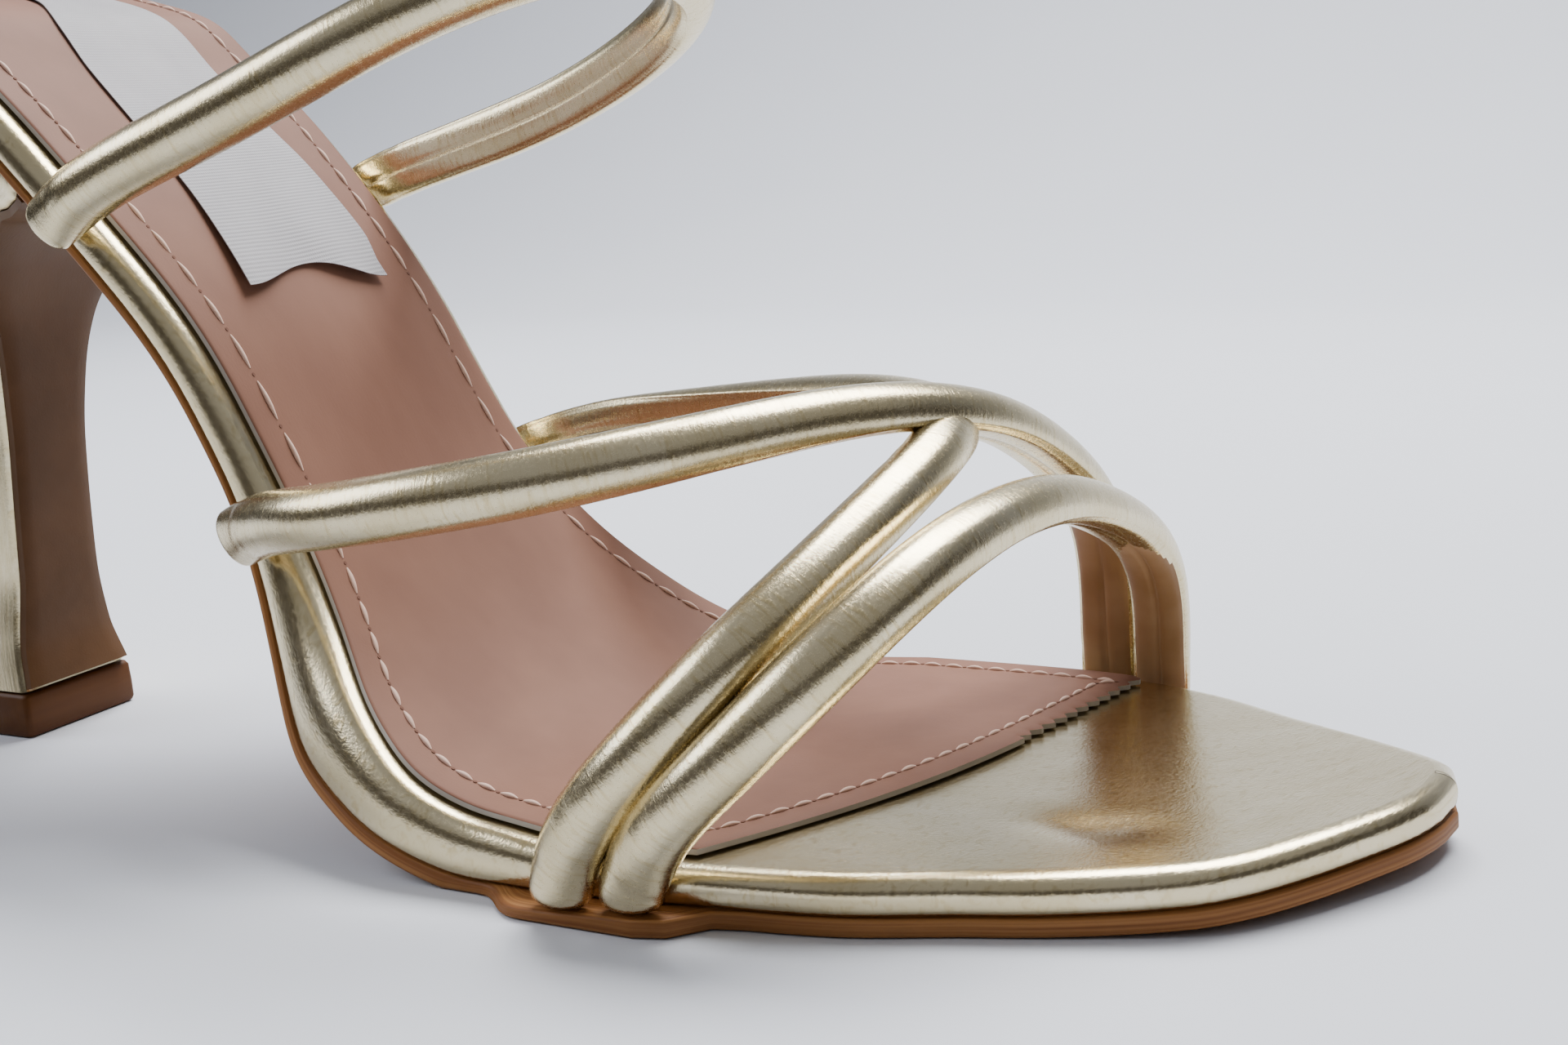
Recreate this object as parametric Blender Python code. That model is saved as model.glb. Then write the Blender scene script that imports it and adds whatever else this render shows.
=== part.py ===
"""Strappy heeled sandal, right shoe, in metres, +Z up.

The toe points along +X and the outer side of the foot is -Y. The shoe stands on the floor
at z = 0 on its heel top piece and the flat of its forefoot. Every piece follows one line,
the top of the insole seen from the side, and one outline, the footbed seen from above.
"""

import math

import bmesh
import bpy
from mathutils import Vector

# Driving sizes of the whole shoe
LENGTH = 0.2140
BALL_WIDTH = 0.0743
HEEL_RISE = 0.0973
GAP = 0.0003

# Thickness of the layers under the foot, measured at the ball
OUTSOLE_THICKNESS = 0.0019
FOOTBED_THICKNESS = 0.0038
SOCK_THICKNESS = 0.0008
SOCK_INSET = 0.0031
RAND_RADIUS = 0.0016
OUTSOLE_EDGE = 0.0003
OUTSOLE_INSET = 0.0004
OUTSOLE_START = 0.2900
STATION_GAP = 0.0035
SOCK_SKEW_START = 0.6330
SOCK_END_OUTER = 0.6970
SOCK_END_INNER = 0.8190
SOCK_END_BOW = 0.026

# Straps, D-shaped in section: round outside, flatter lining inside
STRAP_WIDTH = 0.0070
STRAP_THICKNESS = 0.0053
STRAP_END_THICKNESS = 0.0030
STRAP_TAPER = 0.0095
STRAP_LINING_SHARE = 0.34
STRAP_RISE = 0.0376
CORE_RISE = 0.35
STRAP_SIDES = 14
STRAP_STEP = 0.0032
STRAP_STAND = 0.0047
STRAP_CLEARANCE = 0.0004

# Instep loop, an arch that leans forward over the instep
LOOP_STATION = 0.3290
LOOP_REACH = 0.0715
LOOP_LEAN = math.radians(20.0)
LOOP_CURL = 0.0040
LOOP_DROP = 0.0085
LOOP_ROUNDNESS = 2.5
LOOP_CORE = 0.45
LOOP_STEPS = 44

# Heel block, breast flap and top piece
TOP_PIECE_HEIGHT = 0.0061
TOP_PIECE_HALF_WIDTH = 0.0096
TOP_PIECE_FRONT = 0.0299
TOP_PIECE_DEPTH = 0.0188
TOP_PIECE_CHAMFER = 0.0006
HEEL_SHIFT = -0.0024
FLAP_THICKNESS = 0.0012
FLAP_INSET = 0.0004
FLAP_TOP_SHARE = 0.9000

# Insole line seen from the side
# station: share of LENGTH from the heel, rise: share of HEEL_RISE
INSOLE_LINE = [
    (0.000, 1.000), (0.110, 0.978), (0.176, 0.943), (0.220, 0.909), (0.255, 0.840),
    (0.286, 0.779), (0.312, 0.722), (0.338, 0.661), (0.365, 0.586), (0.391, 0.497),
    (0.418, 0.378), (0.442, 0.284), (0.475, 0.192), (0.508, 0.122), (0.541, 0.069),
    (0.567, 0.040), (0.589, 0.023), (0.633, 0.000), (0.835, 0.000), (1.000, 0.020),
]

# Thickness of the two layers along the shoe
# station: share of LENGTH, footbed and outsole: share of their thickness at the ball
LAYERS = [
    (0.000, 1.07, 0.55), (0.340, 1.01, 0.50), (0.415, 1.03, 0.45), (0.440, 1.46, 0.50),
    (0.465, 2.06, 0.60), (0.490, 2.36, 0.70), (0.515, 2.04, 0.80), (0.545, 1.73, 0.88),
    (0.585, 1.52, 0.95), (0.640, 1.13, 1.00), (0.700, 1.00, 1.00), (1.000, 1.00, 1.00),
]

# Footbed outline from above, as far as its widest place
# station: share of LENGTH, half: share of BALL_WIDTH, middle: share of BALL_WIDTH
OUTLINE = [
    (0.110, 0.345, -0.013), (0.198, 0.359, -0.015), (0.286, 0.355, -0.022),
    (0.338, 0.342, -0.028), (0.391, 0.325, -0.017), (0.426, 0.322, -0.011),
    (0.457, 0.345, -0.022), (0.492, 0.392, -0.045), (0.527, 0.432, -0.049),
    (0.589, 0.470, -0.024), (0.677, 0.500, 0.004),
]
# The same ahead of the widest place, a soft corner outside and a slanted inner side
TOE = [
    (0.677, 0.500, 0.004), (0.757, 0.483, 0.019), (0.825, 0.438, 0.038),
    (0.862, 0.398, 0.034), (0.897, 0.344, 0.014), (0.916, 0.310, 0.004),
    (0.933, 0.268, 0.010), (0.950, 0.220, 0.023), (0.972, 0.147, 0.042),
    (0.989, 0.077, 0.058), (1.000, 0.000, 0.085),
]
SEAT_POWER = 2.3
SEAT_ROOT = 0.48

# Slope across the footbed, the arch side higher
# station: share of LENGTH, slope: height gained for each unit toward +Y
CROSS_SLOPE = [(0.000, 0.000), (0.264, 0.010), (0.338, 0.030), (0.391, 0.050),
               (0.430, 0.090), (0.475, 0.120), (0.520, 0.100), (0.567, 0.060),
               (0.633, 0.000), (1.000, 0.000)]

# Straps from the outer end to the inner end
# station: share of LENGTH, reach: share of the half width there, rise: share of STRAP_RISE
WAIST_TO_TOE = {
    "start": (0.430, -1.0),
    "rows": [(0.469, -1.00, 0.28), (0.500, -0.94, 0.49), (0.553, -0.85, 0.76),
             (0.597, -0.81, 0.89), (0.663, -0.60, 1.00), (0.736, -0.11, 1.04),
             (0.756, 0.10, 1.00), (0.770, 0.32, 0.93), (0.779, 0.60, 0.77),
             (0.787, 0.82, 0.60), (0.787, 0.95, 0.40)],
    "end": (0.785, 1.0),
}
TOE_TO_WAIST = {
    "start": (0.635, -1.0),
    "rows": [(0.661, -1.00, 0.16), (0.684, -0.98, 0.30), (0.722, -0.87, 0.54),
             (0.738, -0.70, 0.66), (0.750, -0.46, 0.77), (0.759, -0.24, 0.86),
             (0.762, -0.04, 0.93), (0.752, 0.18, 0.96), (0.718, 0.39, 0.97),
             (0.668, 0.57, 0.96), (0.579, 0.84, 0.82), (0.506, 1.00, 0.52),
             (0.472, 1.03, 0.31)],
    "end": (0.441, 1.0),
}
FRONT = {
    "start": (0.671, -1.0),
    "rows": [(0.704, -1.00, 0.18), (0.732, -0.98, 0.33), (0.761, -0.89, 0.51),
             (0.780, -0.75, 0.64), (0.791, -0.55, 0.72), (0.803, -0.25, 0.77),
             (0.810, -0.02, 0.76), (0.815, 0.25, 0.70), (0.820, 0.45, 0.62),
             (0.823, 0.71, 0.50), (0.824, 0.88, 0.35)],
    "end": (0.818, 1.0),
}

# Levels of the heel's rings, as shares of the block's height
HEEL_LEVELS = [0.00, 0.04, 0.09, 0.15, 0.22, 0.32, 0.42, 0.49, 0.54, 0.58, 0.62, 0.66, 0.70,
               0.74, 0.78, 0.82, 0.86, 0.90, 0.94, 1.00]
# Heel block, from the top piece up to the seat
# level: share of the block's height, front and back: distance from the heel end as a share
# of LENGTH, half: share of BALL_WIDTH, squareness: exponent of the rounded back
HEEL_SECTIONS = [
    (0.000, 0.1370, 0.0550, 0.122, 3.6), (0.075, 0.1310, 0.0580, 0.106, 3.6),
    (0.180, 0.1330, 0.0570, 0.090, 3.4), (0.370, 0.1390, 0.0540, 0.087, 3.2),
    (0.490, 0.1450, 0.0440, 0.096, 3.0), (0.575, 0.1520, 0.0330, 0.114, 2.8),
    (0.675, 0.1720, 0.0220, 0.154, 2.6), (0.760, 0.2040, 0.0140, 0.206, 2.5),
    (0.840, 0.2380, 0.0100, 0.258, 2.4), (0.920, 0.2600, 0.0070, 0.298, 2.3),
    (1.000, 0.2600, 0.0060, 0.305, 2.3),
]

PLATFORM = OUTSOLE_THICKNESS + GAP + FOOTBED_THICKNESS + GAP + SOCK_THICKNESS
FOOTBED_TOP = SOCK_THICKNESS + GAP


def smooth_line(rows, column):
    """Return a smooth function through a table that never swings past its points."""
    xs = [row[0] for row in rows]
    ys = [row[column] for row in rows]
    steps = [xs[i + 1] - xs[i] for i in range(len(xs) - 1)]
    rates = [(ys[i + 1] - ys[i]) / steps[i] for i in range(len(steps))]
    slopes = [rates[0]]
    for i in range(1, len(rates)):
        if rates[i - 1] * rates[i] <= 0.0:
            slopes.append(0.0)
            continue
        before = 2.0 * steps[i] + steps[i - 1]
        after = steps[i] + 2.0 * steps[i - 1]
        slopes.append((before + after) / (before / rates[i - 1] + after / rates[i]))
    slopes.append(rates[-1])

    def value(x):
        x = min(max(x, xs[0]), xs[-1])
        i = 0
        while i < len(steps) - 1 and x > xs[i + 1]:
            i += 1
        u = (x - xs[i]) / steps[i]
        rise = (1 + 2 * u) * (1 - u) ** 2 * ys[i] + u * u * (3 - 2 * u) * ys[i + 1]
        bend = u * (1 - u) ** 2 * slopes[i] - u * u * (1 - u) * slopes[i + 1]
        return rise + steps[i] * bend

    return value


insole_rise = smooth_line(INSOLE_LINE, 1)
outline_half = smooth_line(OUTLINE, 1)
outline_middle = smooth_line(OUTLINE, 2)
toe_square = smooth_line([(row[0], row[1] ** 2) for row in TOE], 1)
toe_middle = smooth_line(TOE, 2)
cross_slope = smooth_line(CROSS_SLOPE, 1)
footbed_share = smooth_line(LAYERS, 1)
outsole_share = smooth_line(LAYERS, 2)
BACK_STATION = OUTLINE[0][0]
WIDEST_STATION = OUTLINE[-1][0]


def half_width(station):
    """Half the footbed's width at a station, rounded off at the seat and at the toe."""
    if station < BACK_STATION:
        u = 1.0 - station / BACK_STATION
        return BALL_WIDTH * outline_half(BACK_STATION) * max(0.0, 1.0 - u ** SEAT_POWER) ** SEAT_ROOT
    if station > WIDEST_STATION:
        return BALL_WIDTH * math.sqrt(max(0.0, toe_square(station)))
    return BALL_WIDTH * outline_half(station)


def middle(station):
    """Sideways place of the footbed's middle line at a station."""
    if station > WIDEST_STATION:
        return BALL_WIDTH * toe_middle(station)
    return BALL_WIDTH * outline_middle(station)


def insole_height(x):
    return PLATFORM + HEEL_RISE * insole_rise(x / LENGTH)


def up_direction(x):
    """Unit vector square to the insole line, pointing up."""
    step = 0.0005
    slope = (insole_height(x + step) - insole_height(x - step)) / (2.0 * step)
    return Vector((-slope, 0.0, 1.0)).normalized()


def footbed_under(station):
    """Depth of the footbed's underside below the insole surface."""
    return FOOTBED_TOP + FOOTBED_THICKNESS * footbed_share(station)


def outsole_top(station):
    return footbed_under(station) + GAP


def outsole_under(station):
    return outsole_top(station) + OUTSOLE_THICKNESS * outsole_share(station)


def under_foot(x, y, depth):
    """Point under the insole surface at a plan place, measured square to the surface."""
    point = Vector((x, y, insole_height(x))) - depth * up_direction(x)
    point.z += cross_slope(x / LENGTH) * y
    return point


def heel_ceiling(x, y):
    """Height of the footbed's underside straight above a place on the heel, less the gap."""
    foot = x
    for _ in range(12):
        foot = x + outsole_top(foot / LENGTH) * up_direction(foot).x
    return under_foot(foot, y, outsole_top(foot / LENGTH)).z


def make_object(name, verts, faces, material, smooth_angle=50.0):
    """Turn points and faces into a named object with outward normals."""
    mesh = bpy.data.meshes.new(name)
    shape = bmesh.new()
    made = [shape.verts.new(p) for p in verts]
    for face in faces:
        shape.faces.new([made[i] for i in face])
    bmesh.ops.recalc_face_normals(shape, faces=shape.faces)
    bmesh.ops.triangulate(shape, faces=[f for f in shape.faces if len(f.verts) > 4])
    shape.to_mesh(mesh)
    shape.free()
    mesh.shade_smooth()
    mesh.set_sharp_from_angle(angle=math.radians(smooth_angle))
    mesh.materials.append(material)
    obj = bpy.data.objects.new(name, mesh)
    bpy.context.collection.objects.link(obj)
    return obj


def make_material(name, colour, roughness, metallic=0.0):
    material = bpy.data.materials.new(name)
    material.use_nodes = True
    shader = material.node_tree.nodes["Principled BSDF"]
    shader.inputs["Base Color"].default_value = (*colour, 1.0)
    shader.inputs["Roughness"].default_value = roughness
    shader.inputs["Metallic"].default_value = metallic
    return material


def footbed_stations():
    """Stations along the shoe, closer together where the outline rounds off."""
    back_steps, toe_steps = 6, 13
    middle_steps = 46
    stations = [BACK_STATION * (i / back_steps) ** 2 for i in range(back_steps)]
    span = WIDEST_STATION - BACK_STATION
    stations += [BACK_STATION + span * i / middle_steps for i in range(middle_steps)]
    for i in range(toe_steps + 1):
        left = 1.0 - i / toe_steps
        stations.append(1.0 - (1.0 - WIDEST_STATION) * (0.5 * left + 0.5 * left * left))
    return stations


def outline_loop(stations, grow=None):
    """Plan outline as (outer side, inner side) points for each station, ends closed."""
    pairs = []
    for s in stations:
        half = half_width(s)
        outer = half + (grow(s, -1) if grow else 0.0)
        inner = half + (grow(s, 1) if grow else 0.0)
        pairs.append(((s * LENGTH, middle(s) - outer), (s * LENGTH, middle(s) + inner)))
    return pairs


def loop_order(count, closed_start, closed_end):
    """Order of the pair points round the outline: outer side out, inner side back."""
    order = [(i, 0) for i in range(count)]
    order += [(i, 1) for i in reversed(range(count))]
    if closed_end:
        order.remove((count - 1, 1))
    if closed_start:
        order.remove((0, 1))
    return order


def make_plate(name, pairs, rings, material, closed_start=True, closed_end=True):
    """Plate that follows the insole surface.

    Each ring is (inset from the outline, depth under the insole surface as a function of the
    station, lowest height above the floor).
    """
    order = loop_order(len(pairs), closed_start, closed_end)
    outline = [Vector((*pairs[i][side], 0.0)) for i, side in order]
    count = len(outline)
    inward = []
    for k in range(count):
        run = (outline[(k + 1) % count] - outline[k - 1]).normalized()
        inward.append(Vector((-run.y, run.x, 0.0)))
    verts = []
    for inset, depth, lowest in rings:
        for point, direction in zip(outline, inward):
            place = point + inset * direction
            spot = under_foot(place.x, place.y, depth(place.x / LENGTH))
            spot.z = max(spot.z, lowest)
            verts.append(spot)
    faces = []
    for r in range(len(rings) - 1):
        low, high = r * count, (r + 1) * count
        for k in range(count):
            nxt = (k + 1) % count
            faces.append((low + k, low + nxt, high + nxt, high + k))
    index = {pair: k for k, pair in enumerate(order)}
    for base in (0, (len(rings) - 1) * count):
        for i in range(len(pairs) - 1):
            corners = [(i, 0), (i + 1, 0), (i + 1, 1), (i, 1)]
            face = [base + index[c] for c in corners if c in index]
            faces.append(tuple(face))
    return make_object(name, verts, faces, material)


def strap_ends():
    """Station and side of every strap end that stands on the outsole's forefoot."""
    return [WAIST_TO_TOE["end"], TOE_TO_WAIST["start"], FRONT["start"], FRONT["end"]]


def outsole_growth(station, side):
    """How far the outsole reaches past the footbed, wider under each strap end."""
    reach = STRAP_CLEARANCE + STRAP_END_THICKNESS
    grown = -OUTSOLE_INSET
    for place, end_side in strap_ends():
        if end_side * side < 0:
            continue
        away = abs(station - place) * LENGTH / (STRAP_WIDTH * 0.5)
        fade = min(max((3.6 - away) / 2.6, 0.0), 1.0)
        grown = max(grown, -OUTSOLE_INSET + (reach + OUTSOLE_INSET) * fade * fade * (3 - 2 * fade))
    return grown


def make_outsole(material):
    stations = [OUTSOLE_START] + [s for s in footbed_stations() if s > OUTSOLE_START + 0.004]
    width = STRAP_WIDTH / LENGTH
    for place, _ in strap_ends():
        for step in (-1.3, -1.05, -0.8, -0.55, 0.0, 0.55, 0.8, 1.05, 1.3):
            extra = place + width * step
            if min(abs(extra - s) for s in stations) > STATION_GAP:
                stations.append(extra)
    stations.sort()
    pairs = outline_loop(stations, outsole_growth)
    edge = OUTSOLE_EDGE
    rings = [
        (edge, outsole_under, 0.0),
        (0.0, lambda s: outsole_under(s) - edge, edge),
        (0.0, lambda s: outsole_top(s) + edge, edge),
        (edge, outsole_top, edge),
    ]
    return make_plate("outsole", pairs, rings, material, closed_start=False)


def rounded_ring(angle):
    """Ring of the footbed's rounded edge at an angle, a quarter turn up being the top."""
    inset = RAND_RADIUS * (1.0 - math.cos(angle))
    share = 0.5 - 0.5 * math.sin(angle)

    def depth(station):
        return FOOTBED_TOP + (footbed_under(station) - FOOTBED_TOP) * (1.0 - share)

    return (inset, depth, 0.0)


def make_footbed(material):
    """Wrapped insole board with a rounded, padded edge."""
    rings = [rounded_ring(math.radians(a)) for a in (90, 55, 20, -20, -55, -90)]
    return make_plate("footbed", outline_loop(footbed_stations()), rings, material)


def make_sock(material):
    """Lining sheet on the footbed, ending in a slanted front edge behind the toes."""
    back = [s for s in footbed_stations() if s < SOCK_SKEW_START]
    pairs = outline_loop(back + [SOCK_SKEW_START])
    for share in (0.25, 0.5, 0.75, 1.0):
        outer = SOCK_SKEW_START + (SOCK_END_OUTER - SOCK_SKEW_START) * share
        inner = SOCK_SKEW_START + (SOCK_END_INNER - SOCK_SKEW_START) * share
        pairs.append(((outer * LENGTH, middle(outer) - half_width(outer)),
                      (inner * LENGTH, middle(inner) + half_width(inner))))
    (x0, y0), (x1, y1) = pairs[-1]
    bow = SOCK_END_BOW * LENGTH
    for share in (0.14, 0.32):
        swell = bow * math.sin(math.pi * share)
        pairs.append(((x0 + (x1 - x0) * share + swell, y0 + (y1 - y0) * share),
                      (x1 + (x0 - x1) * share + swell, y1 + (y0 - y1) * share)))
    rings = [(SOCK_INSET, lambda s: SOCK_THICKNESS, 0.0), (SOCK_INSET, lambda s: 0.0, 0.0)]
    return make_plate("insole_sock", pairs, rings, material, closed_end=False)


def curve_through(points, count):
    """Even points on a smooth curve through the given points."""
    dense = []
    ext = [2 * points[0] - points[1]] + points + [2 * points[-1] - points[-2]]
    for i in range(1, len(ext) - 2):
        a, b, c, d = ext[i - 1:i + 3]
        t0 = 0.0
        t1 = t0 + max((b - a).length, 1e-6) ** 0.5
        t2 = t1 + max((c - b).length, 1e-6) ** 0.5
        t3 = t2 + max((d - c).length, 1e-6) ** 0.5
        for k in range(16):
            t = t1 + (t2 - t1) * k / 16
            ab = a.lerp(b, (t - t0) / (t1 - t0))
            bc = b.lerp(c, (t - t1) / (t2 - t1))
            cd = c.lerp(d, (t - t2) / (t3 - t2))
            abc = ab.lerp(bc, (t - t0) / (t2 - t0))
            bcd = bc.lerp(cd, (t - t1) / (t3 - t1))
            dense.append(abc.lerp(bcd, (t - t1) / (t2 - t1)))
    dense.append(points[-1])
    reached = [0.0]
    for p, q in zip(dense, dense[1:]):
        reached.append(reached[-1] + (q - p).length)
    even = []
    j = 0
    for k in range(count):
        want = reached[-1] * k / (count - 1)
        while j < len(dense) - 2 and reached[j + 1] < want:
            j += 1
        share = (want - reached[j]) / (reached[j + 1] - reached[j])
        even.append(dense[j].lerp(dense[j + 1], min(max(share, 0.0), 1.0)))
    return even


def strap_depth(away):
    """Thickness of a strap at a distance from its end, thinner where it is skived."""
    share = min(away / STRAP_TAPER, 1.0)
    return STRAP_END_THICKNESS + (STRAP_THICKNESS - STRAP_END_THICKNESS) * share * share * (3 - 2 * share)


def strap_offset(station, thickness):
    """Distance from the footbed's middle line to a strap that lies against its edge."""
    reach = 0.5 * STRAP_WIDTH / LENGTH
    half = max(half_width(station - reach), half_width(station), half_width(station + reach))
    return half + STRAP_CLEARANCE + thickness * 0.5


def stand_direction(station):
    """Unit vector square to the outsole where a strap end stands."""
    along = up_direction(station * LENGTH)
    return Vector((along.x / along.z, -cross_slope(station), 1.0)).normalized()


def seat_point(station, side, lift):
    """Place beside the footbed where a strap end stands, lifted off the outsole."""
    x = station * LENGTH
    y = middle(station) + side * strap_offset(station, strap_depth(lift))
    return under_foot(x, y, outsole_top(station) - STRAP_CLEARANCE) + lift * stand_direction(station)


def strap_path(strap):
    """Middle line of a forefoot strap from its table."""
    points = [seat_point(*strap["start"], 0.0), seat_point(*strap["start"], STRAP_STAND)]
    for station, reach, rise in strap["rows"]:
        x = station * LENGTH
        y = middle(station) + reach * strap_offset(station, STRAP_THICKNESS)
        points.append(Vector((x, y, insole_height(x) + rise * STRAP_RISE)))
    points += [seat_point(*strap["end"], STRAP_STAND), seat_point(*strap["end"], 0.0)]
    length = sum((q - p).length for p, q in zip(points, points[1:]))
    return curve_through(points, max(12, round(length / STRAP_STEP)))


def loop_path():
    """Middle line of the instep loop, straight legs that close in a round arch, and the
    points inside it that the strap faces."""
    legs = [seat_point(LOOP_STATION, -1.0, 0.0), seat_point(LOOP_STATION, 1.0, 0.0)]
    centre = (legs[0] + legs[1]) / 2.0
    half = strap_offset(LOOP_STATION, STRAP_THICKNESS) + STRAP_CLEARANCE
    side = (legs[1] - legs[0]).normalized() * half
    lean = Vector((math.cos(LOOP_LEAN), 0.0, math.sin(LOOP_LEAN)))
    rise = Vector((-math.sin(LOOP_LEAN), 0.0, math.cos(LOOP_LEAN)))
    power = 2.0 / LOOP_ROUNDNESS
    points = []
    for k in range(1, 16):
        angle = math.pi * k / 16
        across = -math.copysign(abs(math.cos(angle)) ** power, math.cos(angle))
        reach = math.sin(angle) ** power
        lift = LOOP_CURL * reach * reach - LOOP_DROP * reach * (1.0 + across) / 2.0
        points.append(centre + side * across + lean * (LOOP_REACH * reach) + rise * lift)
    stand = STRAP_STAND * 0.8
    start = [legs[0], seat_point(LOOP_STATION, -1.0, stand)]
    end = [seat_point(LOOP_STATION, 1.0, stand), legs[1]]
    path = curve_through(start + points[1:-1] + end, LOOP_STEPS)
    cores = []
    for point in path:
        away = point - centre
        along = min(away.dot(lean), LOOP_REACH * LOOP_CORE)
        cores.append(centre + lean * along + rise * away.dot(rise))
    return path, cores


def tube(name, path, cores, stations, material):
    """Strap of D-shaped section along a path, its flat side facing the core points.

    Its two ends are cut parallel to the outsole at the given stations.
    """
    count = len(path)
    reached = [0.0]
    for p, q in zip(path, path[1:]):
        reached.append(reached[-1] + (q - p).length)
    verts = []
    for i, point in enumerate(path):
        thickness = strap_depth(min(reached[i], reached[-1] - reached[i]))
        run = (path[min(i + 1, count - 1)] - path[max(i - 1, 0)]).normalized()
        if i == 0:
            run = stand_direction(stations[0])
        elif i == count - 1:
            run = -stand_direction(stations[1])
        inward = cores[i] - point
        inward = (inward - run * inward.dot(run)).normalized()
        across = run.cross(inward)
        for k in range(STRAP_SIDES):
            angle = 2.0 * math.pi * k / STRAP_SIDES
            flat = math.cos(angle)
            wide = math.sin(angle)
            if flat > 0.0:
                deep = thickness * STRAP_LINING_SHARE * flat ** 0.55
            else:
                deep = thickness * (1.0 - STRAP_LINING_SHARE) * flat
            deep -= thickness * (STRAP_LINING_SHARE - 0.5)
            verts.append(point + across * (wide * STRAP_WIDTH * 0.5) + inward * deep)
    faces = []
    for i in range(count - 1):
        for k in range(STRAP_SIDES):
            nxt = (k + 1) % STRAP_SIDES
            low, high = i * STRAP_SIDES, (i + 1) * STRAP_SIDES
            faces.append((low + k, low + nxt, high + nxt, high + k))
    faces.append(tuple(range(STRAP_SIDES)))
    faces.append(tuple((count - 1) * STRAP_SIDES + k for k in range(STRAP_SIDES)))
    return make_object(name, verts, faces, material, smooth_angle=60.0)


def foot_core(point):
    """Point inside the foot that a strap there faces, level with a strap that stands low."""
    station = point.x / LENGTH
    height = insole_height(point.x) + CORE_RISE * STRAP_RISE
    return Vector((point.x, middle(station), min(height, point.z)))


def make_upper(material):
    """Three forefoot straps, joined where they cross and where their ends lie together."""
    tubes = []
    for name, strap in (("upper", TOE_TO_WAIST), ("waist_to_toe", WAIST_TO_TOE), ("front", FRONT)):
        path = strap_path(strap)
        cores = [foot_core(p) for p in path]
        stations = (strap["start"][0], strap["end"][0])
        tubes.append(tube(name, path, cores, stations, material))
    upper = tubes[0]
    for other in tubes[1:]:
        join = upper.modifiers.new("join_" + other.name, "BOOLEAN")
        join.operation = "UNION"
        join.solver = "EXACT"
        join.object = other
        other.hide_render = True
        other.display_type = "WIRE"
    return upper


def make_instep_loop(material):
    path, cores = loop_path()
    stations = (LOOP_STATION, LOOP_STATION)
    return tube("instep_loop", path, cores, stations, material)


heel_front = smooth_line(HEEL_SECTIONS, 1)
heel_back = smooth_line(HEEL_SECTIONS, 2)
heel_half = smooth_line(HEEL_SECTIONS, 3)
heel_square = smooth_line(HEEL_SECTIONS, 4)


def heel_ring(level, front_steps=6, side_steps=10):
    """Section of the heel block: flat breast in front, rounded back."""
    front = heel_front(level) * LENGTH
    back = heel_back(level) * LENGTH
    half = heel_half(level) * BALL_WIDTH
    power = 2.0 / heel_square(level)
    shift = HEEL_SHIFT + (middle(BACK_STATION) - HEEL_SHIFT) * level * level
    ring = []
    for i in range(front_steps + 1):
        ring.append((front, shift + half * (2.0 * i / front_steps - 1.0)))
    for i in range(1, 2 * side_steps):
        angle = math.pi * i / (2 * side_steps)
        across = math.copysign(abs(math.cos(angle)) ** power, math.cos(angle))
        ring.append((front - (front - back) * math.sin(angle) ** power, shift + half * across))
    return ring


def heel_spot(level, x, y):
    """Place on the heel at a share of the height between the top piece and the footbed."""
    base = TOP_PIECE_HEIGHT + GAP
    return Vector((x, y, base + level * (heel_ceiling(x, y) - base)))


def make_heel(material):
    rings = [[heel_spot(level, x, y) for x, y in heel_ring(level)] for level in HEEL_LEVELS]
    count = len(rings[0])
    verts = [p for ring in rings for p in ring]
    faces = []
    for r in range(len(rings) - 1):
        for k in range(count):
            nxt = (k + 1) % count
            low, high = r * count, (r + 1) * count
            faces.append((low + k, low + nxt, high + nxt, high + k))
    faces.append(tuple(range(count)))
    top = (len(rings) - 1) * count
    front_steps = 6
    half = (count - front_steps) // 2
    near = [top] + [top + count - 1 - i for i in range(half)]
    far = [top + front_steps + i for i in range(half + 1)]
    faces.append(tuple([near[0]] + [top + i for i in range(1, front_steps)] + [far[0], far[1], near[1]]))
    for i in range(1, half):
        corners = [near[i], far[i], far[i + 1], near[i + 1]]
        faces.append(tuple(dict.fromkeys(corners)))
    return make_object("heel", verts, faces, material, smooth_angle=40.0)


def make_flap(material):
    """Sheet that covers the breast of the heel from the top piece up to the outsole."""
    probe = 0.004
    levels = [probe] + [s for s in HEEL_LEVELS if 0.0 < s <= FLAP_TOP_SHARE]
    steps = len(levels) - 1
    verts = []
    for level in levels:
        half = heel_half(level) * BALL_WIDTH - FLAP_INSET
        shift = HEEL_SHIFT + (middle(BACK_STATION) - HEEL_SHIFT) * level * level
        below = heel_spot(max(level - probe, 0.0), heel_front(max(level - probe, 0.0)) * LENGTH, shift)
        above = heel_spot(level + probe, heel_front(level + probe) * LENGTH, shift)
        out = Vector((above.z - below.z, 0.0, below.x - above.x)).normalized()
        for reach in (GAP, GAP + FLAP_THICKNESS):
            for side in (-1.0, 1.0):
                spot = heel_spot(level, heel_front(level) * LENGTH, shift + side * half)
                verts.append(spot + out * reach)
    faces = [(0, 1, 3, 2)]
    for i in range(steps):
        a, b = 4 * i, 4 * (i + 1)
        for p, q in ((0, 1), (1, 3), (3, 2), (2, 0)):
            faces.append((a + p, a + q, b + q, b + p))
    last = 4 * steps
    faces.append((last, last + 1, last + 3, last + 2))
    return make_object("heel_breast_flap", verts, faces, material, smooth_angle=40.0)


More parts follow.
